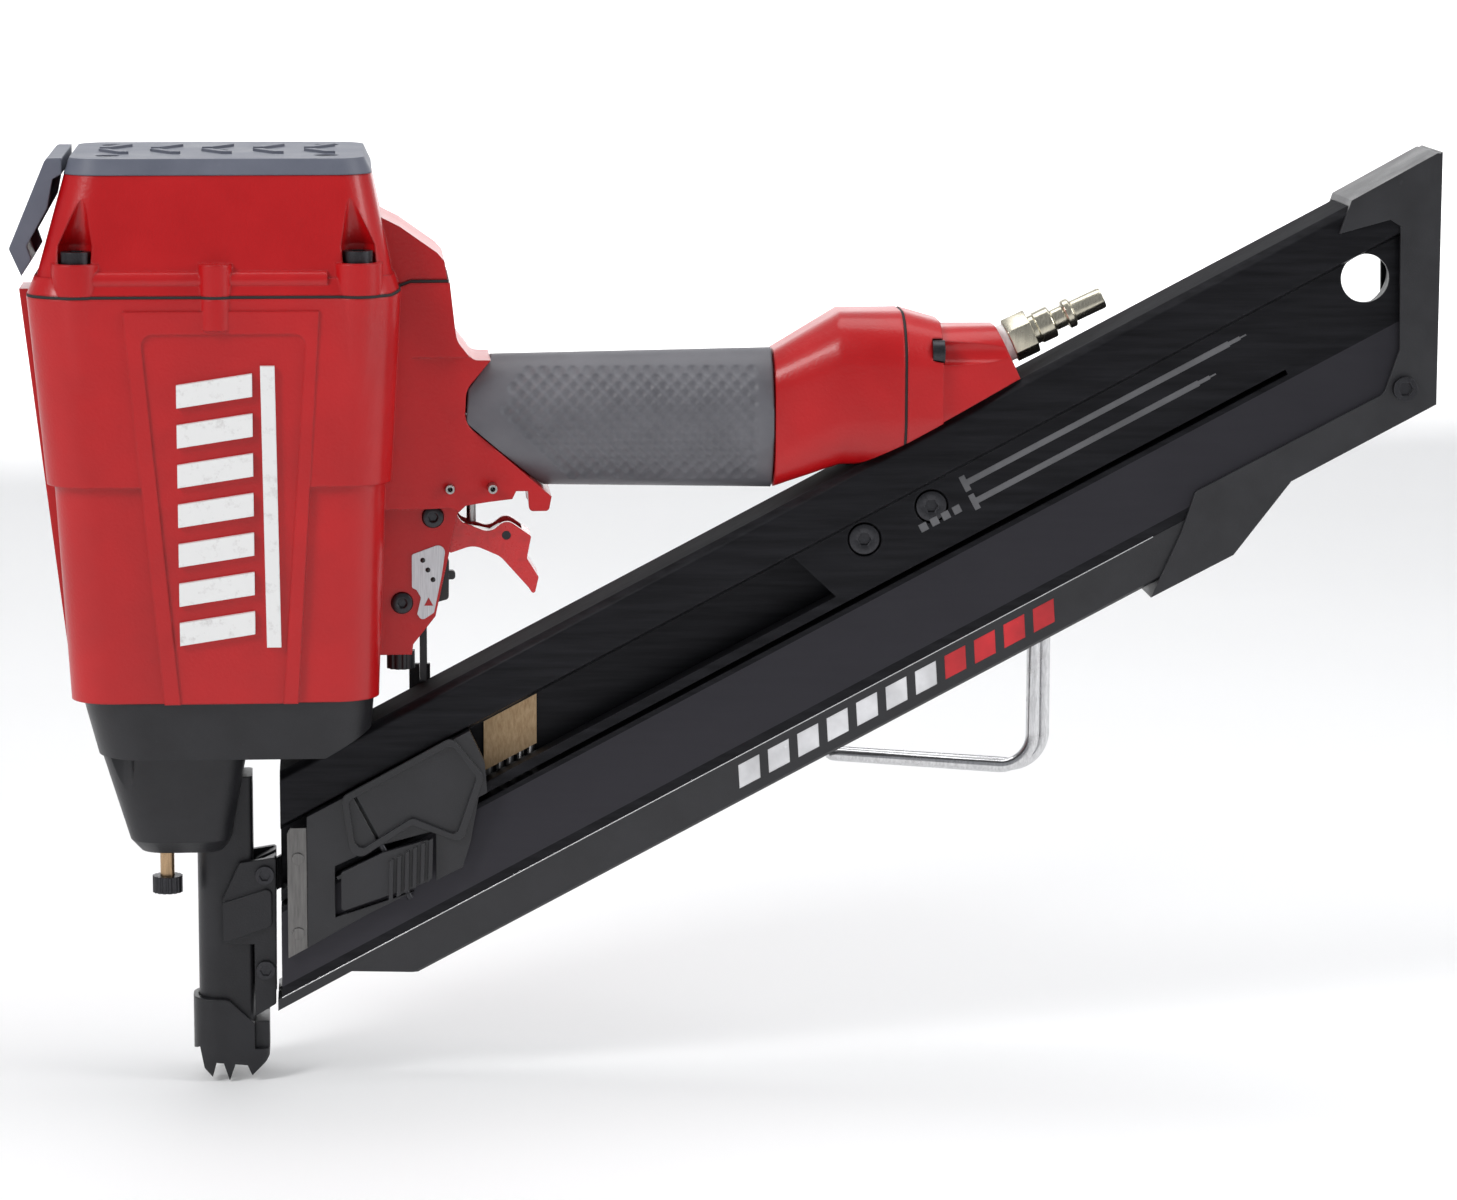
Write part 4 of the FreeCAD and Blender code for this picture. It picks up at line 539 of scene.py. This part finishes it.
def makePlug():
    lean = math.radians(plug["angle"])
    axis = Vector((math.cos(lean), 0, math.sin(lean)))
    centre = Vector(plug["centre"])
    work = bmesh.new()
    turned(work, [(0.0026, -0.010), (0.0064, -0.010), (0.0064, 0.003), (0.0026, 0.003)], centre, axis)
    body = [(0.0026, 0.0118), (0.0050, 0.0118), (0.0054, 0.0122), (0.0054, 0.0138), (0.0059, 0.0142),
            (0.0059, 0.0196), (0.0056, 0.0200), (0.0039, 0.0206), (0.0039, 0.0247), (0.0050, 0.0251),
            (0.0054, 0.0256), (0.0054, 0.0275), (0.0050, 0.0280), (0.0039, 0.0284), (0.0039, 0.0394),
            (0.0036, 0.0400), (0.0026, 0.0400)]
    turned(work, body, centre, axis)
    turned(work, [(0.0026, 0.0119), (0.0026, 0.0100), (0.0026, 0.0400)], centre, axis)
    start = set(work.verts)
    across = plug["flats"] / math.cos(math.pi / 6) / 2
    bmesh.ops.create_cone(work, cap_ends=True, segments=6, radius1=across, radius2=across, depth=0.009)
    fresh = [vert for vert in work.verts if vert not in start]
    bmesh.ops.bevel(work, geom=[edge for edge in work.edges if edge.verts[0] in fresh], offset=0.0005,
                    segments=2, affect="EDGES", profile=0.5, material=-1)
    fresh = [vert for vert in work.verts if vert not in start]
    bmesh.ops.rotate(work, verts=fresh, cent=(0, 0, 0), matrix=axis.to_track_quat("Z", "Y").to_matrix())
    bmesh.ops.translate(work, verts=fresh, vec=centre + axis * 0.0075)
    piece = newShape("airPlugTurned", work, "air_plug")
    creased(piece)
    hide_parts("air_plug")


makePlug()


nails = {"count": 5, "first": 0.0945, "pitch": 0.00375, "long": 0.050, "radius": 0.00145, "rise": 0.0732}


def rails(run, rise):
    # magazine coordinates to the row frame
    slope, lift = math.cos(magazineTurn), math.sin(magazineTurn)
    return run * slope - rise * lift, run * lift + rise * slope


def heightOnRail(x, rise):
    return x * math.tan(magazineTurn) + rise / math.cos(magazineTurn)


def makeNails():
    work = bmesh.new()
    for index in range(nails["count"]):
        x = nails["first"] + index * nails["pitch"]
        top = heightOnRail(x, nails["rise"])
        radius = nails["radius"]
        profile = [(0, -nails["long"]), (0.0002, -nails["long"] + 0.0001), (radius, -nails["long"] + 0.004)]
        for ring in range(8):
            level = -0.030 + ring * 0.0009
            profile += [(radius, level), (radius * 0.93, level + 0.0004)]
        profile += [(radius, -0.020), (radius, -0.0022), (0.0021, -0.0013), (0.0031, -0.0011),
                    (0.0034, -0.0008), (0.0034, -0.0003), (0.0031, 0), (0, 0)]
        turned(work, profile, (x, 0, top), (0, 0, 1), 0, 20)
    piece = newShape("nailStrip", work, "nails")
    creased(piece, 50)
    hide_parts("nails")


makeNails()


def tube(work, path, radius, sides=16):
    # round wire swept along a path, closed at both ends
    rings = []
    side = Vector((0, 1, 0))
    for index, spot in enumerate(path):
        along = (path[min(index + 1, len(path) - 1)] - path[max(index - 1, 0)]).normalized()
        side = (side - along * side.dot(along)).normalized()
        up = along.cross(side)
        angles = [math.tau * step / sides for step in range(sides)]
        rings.append([work.verts.new(spot + (side * math.cos(angle) + up * math.sin(angle)) * radius)
                      for angle in angles])
    for first, second in zip(rings, rings[1:]):
        for step in range(sides):
            after = (step + 1) % sides
            work.faces.new((first[step], first[after], second[after], second[step]))
    work.faces.new(rings[0][::-1])
    work.faces.new(rings[-1])


hook = {"wire": 0.0025, "near": (0.2960, 0.0240, 0.0906), "far": (0.3004, 0.0292, 0.0904), "bend": 0.012,
        "start": 0.224, "drop": 0.006, "top": 0.158}


def hookLine(spot):
    corner = Vector(spot)
    start = Vector((hook["start"], corner.y, corner.z + hook["drop"]))
    back = (start - corner).normalized()
    half = back.angle(Vector((0, 0, 1))) / 2
    reach = hook["bend"] / math.tan(half)
    middle = corner + (back + Vector((0, 0, 1))).normalized() * (hook["bend"] / math.sin(half))
    first = corner + Vector((0, 0, reach)) - middle
    last = corner + back * reach - middle
    first, last = first.normalized(), last.normalized()
    bend = [middle + first.slerp(last, step / 20) * hook["bend"] for step in range(21)]
    return [Vector((corner.x, corner.y, hook["top"]))] + bend + [start]


def makeHook():
    near = hookLine(hook["near"])
    far = hookLine(hook["far"])
    middle = (near[-1] + far[-1]) / 2
    out = (near[-1] - near[-2]).normalized()
    across = (far[-1] - near[-1]) / 2
    angles = [math.pi * step / 10 for step in range(1, 10)]
    turn = [middle - across * math.cos(angle) + out * across.length * math.sin(angle) for angle in angles]
    work = bmesh.new()
    tube(work, near + turn + far[::-1], hook["wire"])
    turned(work, [(0, 0.152), (0.0070, 0.152), (0.0074, 0.1524), (0.0074, 0.1676), (0.0070, 0.168),
                  (0.0040, 0.168), (0.0040, 0.1857), (0.0037, 0.186), (0, 0.186)],
           (0.298, 0.0266, 0), (0, 0, 1))
    wire = newShape("hookWire", work, "rafter_hook")
    creased(wire)
    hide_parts("rafter_hook")


makeHook()


spring = {"radius": 0.0034, "wire": 0.0006, "low": 0.0732, "high": 0.1092, "turns": 9, "x": 0.031, "y": 0.024}


def makeSpring():
    steps = spring["turns"] * 20
    path = []
    for step in range(steps + 1):
        angle = math.tau * step / 20
        level = spring["low"] + (spring["high"] - spring["low"]) * step / steps
        path.append(Vector((spring["x"] + spring["radius"] * math.cos(angle),
                            spring["y"] + spring["radius"] * math.sin(angle), level)))
    work = bmesh.new()
    tube(work, path, spring["wire"], 8)
    coil = newShape("contactCoil", work, "contact_spring")
    creased(coil, 60)
    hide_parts("contact_spring")
    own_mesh(coil)


makeSpring()
print("turned and wire pieces made")


# plain printed marks and the bright line along the rail

def railStrip(work, start, end, low, high, y, thick, skew=0.0):
    # thin raised strip on the magazine's flank, in run and rise
    begin = set(work.verts)
    bmesh.ops.create_cube(work, size=1.0)
    fresh = [vert for vert in work.verts if vert not in begin]
    for vert in fresh:
        rise = high if vert.co.z > 0 else low
        run = (end if vert.co.x > 0 else start) + (skew if vert.co.z > 0 else 0.0)
        x, z = rails(run, rise)
        vert.co = (x, y - (thick if vert.co.y < 0 else 0.0), z)


marks = {"wall": -0.01250, "coverFace": -0.0160, "thick": 0.00005, "barThick": 0.00006,
         "nails": [(0.0555, 0.330, 0.436), (0.0480, 0.330, 0.420)],  # rise, first run, last run
         "tickStart": 0.307, "tickStep": 0.0045, "tickLong": 0.003, "tickRise": (0.0470, 0.0500),
         "barStep": 0.0120, "barLong": 0.0085, "barRise": (-0.0040, 0.0038), "barSkew": 0.0035,
         "whiteStart": 0.206, "whiteCount": 7, "redStart": 0.290, "redCount": 4,
         "hairline": (0.0250, 0.3800, 0.00655, 0.00690, -0.01595, 0.00016)}


def makeNailMark(work, rise, first, last):
    # a nail drawn in four strips: shank, head, tip and its point
    wall, thick = marks["wall"], marks["thick"]
    railStrip(work, first, last, rise - 0.0011, rise + 0.0011, wall, thick)
    railStrip(work, first - 0.0022, first, rise - 0.0030, rise + 0.0030, wall, thick)
    railStrip(work, last, last + 0.0045, rise - 0.0007, rise + 0.0007, wall, thick)
    railStrip(work, last + 0.0045, last + 0.0070, rise - 0.0003, rise + 0.0003, wall, thick)


def makeCoverBars(name, start, count, ink):
    work = bmesh.new()
    for step in range(count):
        first = start + step * marks["barStep"]
        railStrip(work, first, first + marks["barLong"], *marks["barRise"], marks["coverFace"],
                  marks["barThick"], marks["barSkew"])
    newShape(name, work, "magazine_lower_cover", finish=ink, smooth=False)


def makeMarks():
    ink = makeDarkPlastic("greyInk", (0.085, 0.085, 0.09), 0.45)
    red = makeDarkPlastic("redInk", (0.42, 0.015, 0.02), 0.4)
    white = makeDarkPlastic("whiteInk", (0.55, 0.55, 0.56), 0.4)
    work = bmesh.new()
    for rise, first, last in marks["nails"]:
        makeNailMark(work, rise, first, last)
    for step in range(4):
        first = marks["tickStart"] + step * marks["tickStep"]
        railStrip(work, first, first + marks["tickLong"], *marks["tickRise"], marks["wall"], marks["thick"])
    newShape("nailMarks", work, "magazine_body", finish=ink, smooth=False)
    makeCoverBars("coverBarsWhite", marks["whiteStart"], marks["whiteCount"], white)
    makeCoverBars("coverBarsRed", marks["redStart"], marks["redCount"], red)
    work = bmesh.new()
    railStrip(work, *marks["hairline"])
    newShape("railHairline", work, "magazine_body", finish=finishes["bright_wire"], smooth=False)


makeMarks()
print("marks made")


flareBoss = {"centre": (0.2275, 0.0190, 0.2500), "half": (0.0150, 0.0052, 0.0056)}


def makeFlareBosses():
    # long raised bosses on both flanks of the handle's flare
    midX, midY, midZ = flareBoss["centre"]
    halfX, halfY, halfZ = flareBoss["half"]
    work = bmesh.new()
    for side in (-1, 1):
        start = set(work.verts)
        bmesh.ops.create_uvsphere(work, u_segments=40, v_segments=20, radius=1.0)
        for vert in [vert for vert in work.verts if vert not in start]:
            vert.co = (midX + vert.co.x * halfX, side * midY + vert.co.y * halfY, midZ + vert.co.z * halfZ)
    newShape("flareBosses", work, "housing")


makeFlareBosses()


def makeLabelMarks():
    # three dots and a small red triangle on the trigger label
    low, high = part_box("trigger_label")
    middle, face = (low + high) / 2, low.y - 0.00002
    work = bmesh.new()
    for step in range(3):
        turned(work, [(0, 0), (0.0009, 0), (0.0009, 0.00008), (0, 0.00008)],
               (middle.x - 0.002 + step * 0.0018, face, middle.z + 0.008 - step * 0.0035), (0, -1, 0), 0, 20)
    newShape("labelDots", work, "trigger_label", finish=makeDarkPlastic("labelInk", (0.02, 0.02, 0.02), 0.4))
    work = bmesh.new()
    base = [(-0.0016, -0.0014), (0.0016, -0.0014), (0, 0.0016)]
    front = [work.verts.new((middle.x + x, face - 0.00008, middle.z - 0.007 + z)) for x, z in base]
    back = [work.verts.new((middle.x + x, face, middle.z - 0.007 + z)) for x, z in base]
    work.faces.new(front)
    work.faces.new(back[::-1])
    for step in range(3):
        after = (step + 1) % 3
        work.faces.new((front[step], back[step], back[after], front[after]))
    newShape("labelTriangle", work, "trigger_label", smooth=False,
             finish=makeDarkPlastic("labelRed", (0.4, 0.01, 0.012), 0.4))


makeLabelMarks()


squeezed = {"head_valve_spring": ("head_valve_lift", 0.005), "valve_spring": ("valve_stem_lift", 0.003)}
followerSteel = makeSteel("followerSteel", (0.2, 0.195, 0.19), 0.34)
built = {"grip_sleeve", "trigger_pin", "selector_pin", "magazine_bolts", "air_plug", "nails", "rafter_hook",
         "contact_spring"}
for node in sorted(frame["nodes"]):
    if node not in built:
        piece = carryOver(node)
        if node in ("pusher_plate", "pusher_rivets"):
            piece.data.materials[0] = followerSteel
        if node in squeezed:
            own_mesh(piece)
print("CAD pieces finished")


# floor, light and camera

stageSizes = {"floorDrop": 0.0005, "half": 4.0, "bend": 1.2, "wall": 3.0}


def makeFloor():
    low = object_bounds()[0].z - stageSizes["floorDrop"]
    half = stageSizes["half"]
    work = bmesh.new()
    steps = 24
    path = [Vector((-half, -half * 1.5, low)), Vector((-half, half * 0.6, low))]
    for step in range(1, steps + 1):
        turn = math.radians(90) * step / steps
        path.append(Vector((-half, half * 0.6 + stageSizes["bend"] * math.sin(turn),
                            low + stageSizes["bend"] * (1 - math.cos(turn)))))
    path.append(path[-1] + Vector((0, 0, stageSizes["wall"])))
    line = [work.verts.new(spot) for spot in path]
    edges = [work.edges.new(pair) for pair in zip(line, line[1:])]
    grown = bmesh.ops.extrude_edge_only(work, edges=edges)["geom"]
    moved = [part for part in grown if isinstance(part, bmesh.types.BMVert)]
    bmesh.ops.translate(work, verts=moved, vec=(2 * half, 0, 0))
    bmesh.ops.recalc_face_normals(work, faces=work.faces)
    for face in work.faces:
        face.smooth = True
    mesh = bpy.data.meshes.new("floorMesh")
    work.to_mesh(mesh)
    work.free()
    floor = bpy.data.objects.new("floor", mesh)
    bpy.context.scene.collection.objects.link(floor)
    bench = Bench("paleFloor")
    cloud = bench.noise(3.0, 2.0)
    tone = bench.blend(cloud.ramp(0.3, 0.7), (0.80, 0.80, 0.80), (0.82, 0.82, 0.82))
    mesh.materials.append(bench.finish(tone, 0.75, Emission_Color=(1, 1, 1, 1), Emission_Strength=0.16))


def makeLamp(name, place, target, size, power):
    data = bpy.data.lights.new(name, "AREA")
    data.shape = "RECTANGLE"
    data.size, data.size_y = size
    data.energy = power
    lamp = bpy.data.objects.new(name, data)
    bpy.context.scene.collection.objects.link(lamp)
    lamp.location = place
    lamp.rotation_euler = (Vector(target) - Vector(place)).to_track_quat("-Z", "Y").to_euler()


def makeCamera():
    view = {"place": (0.042707, -1.759440, 0.447675), "back": (-0.07742781, -0.98381357, 0.16160382),
            "roll": 0.17, "lens": 122.2}
    data = bpy.data.cameras.new("camera")
    data.lens = view["lens"]
    data.sensor_width = 36.0
    data.clip_start = 0.05
    camera = bpy.data.objects.new("camera", data)
    bpy.context.scene.collection.objects.link(camera)
    aim = Vector(view["back"]).to_track_quat("Z", "Y").to_matrix().to_4x4()
    camera.matrix_world = (Matrix.Translation(view["place"]) @ aim
                           @ Matrix.Rotation(math.radians(view["roll"]), 4, "Z"))
    bpy.context.scene.camera = camera


makeFloor()
makeLamp("keyLight", (-1.3, -1.1, 1.5), (0.1, 0, 0.15), (0.6, 0.9), 22)
makeLamp("topLight", (0.3, 0.25, 1.7), (0.2, 0, 0.15), (1.8, 0.9), 13)
makeLamp("sideLight", (1.8, -0.5, 0.9), (0.2, 0, 0.15), (0.5, 1.2), 12)
makeLamp("backLight", (0.4, 2.2, 1.2), (0.2, 3.5, 0.6), (2.4, 1.4), 45)
world = bpy.data.worlds.new("softRoom")
world.use_nodes = True
world.node_tree.nodes["Background"].inputs["Color"].default_value = (0.93, 0.95, 1.0, 1)
world.node_tree.nodes["Background"].inputs["Strength"].default_value = 0.36
bpy.context.scene.world = world
makeCamera()
bpy.context.scene.view_settings.view_transform = "Standard"
print("stage set")
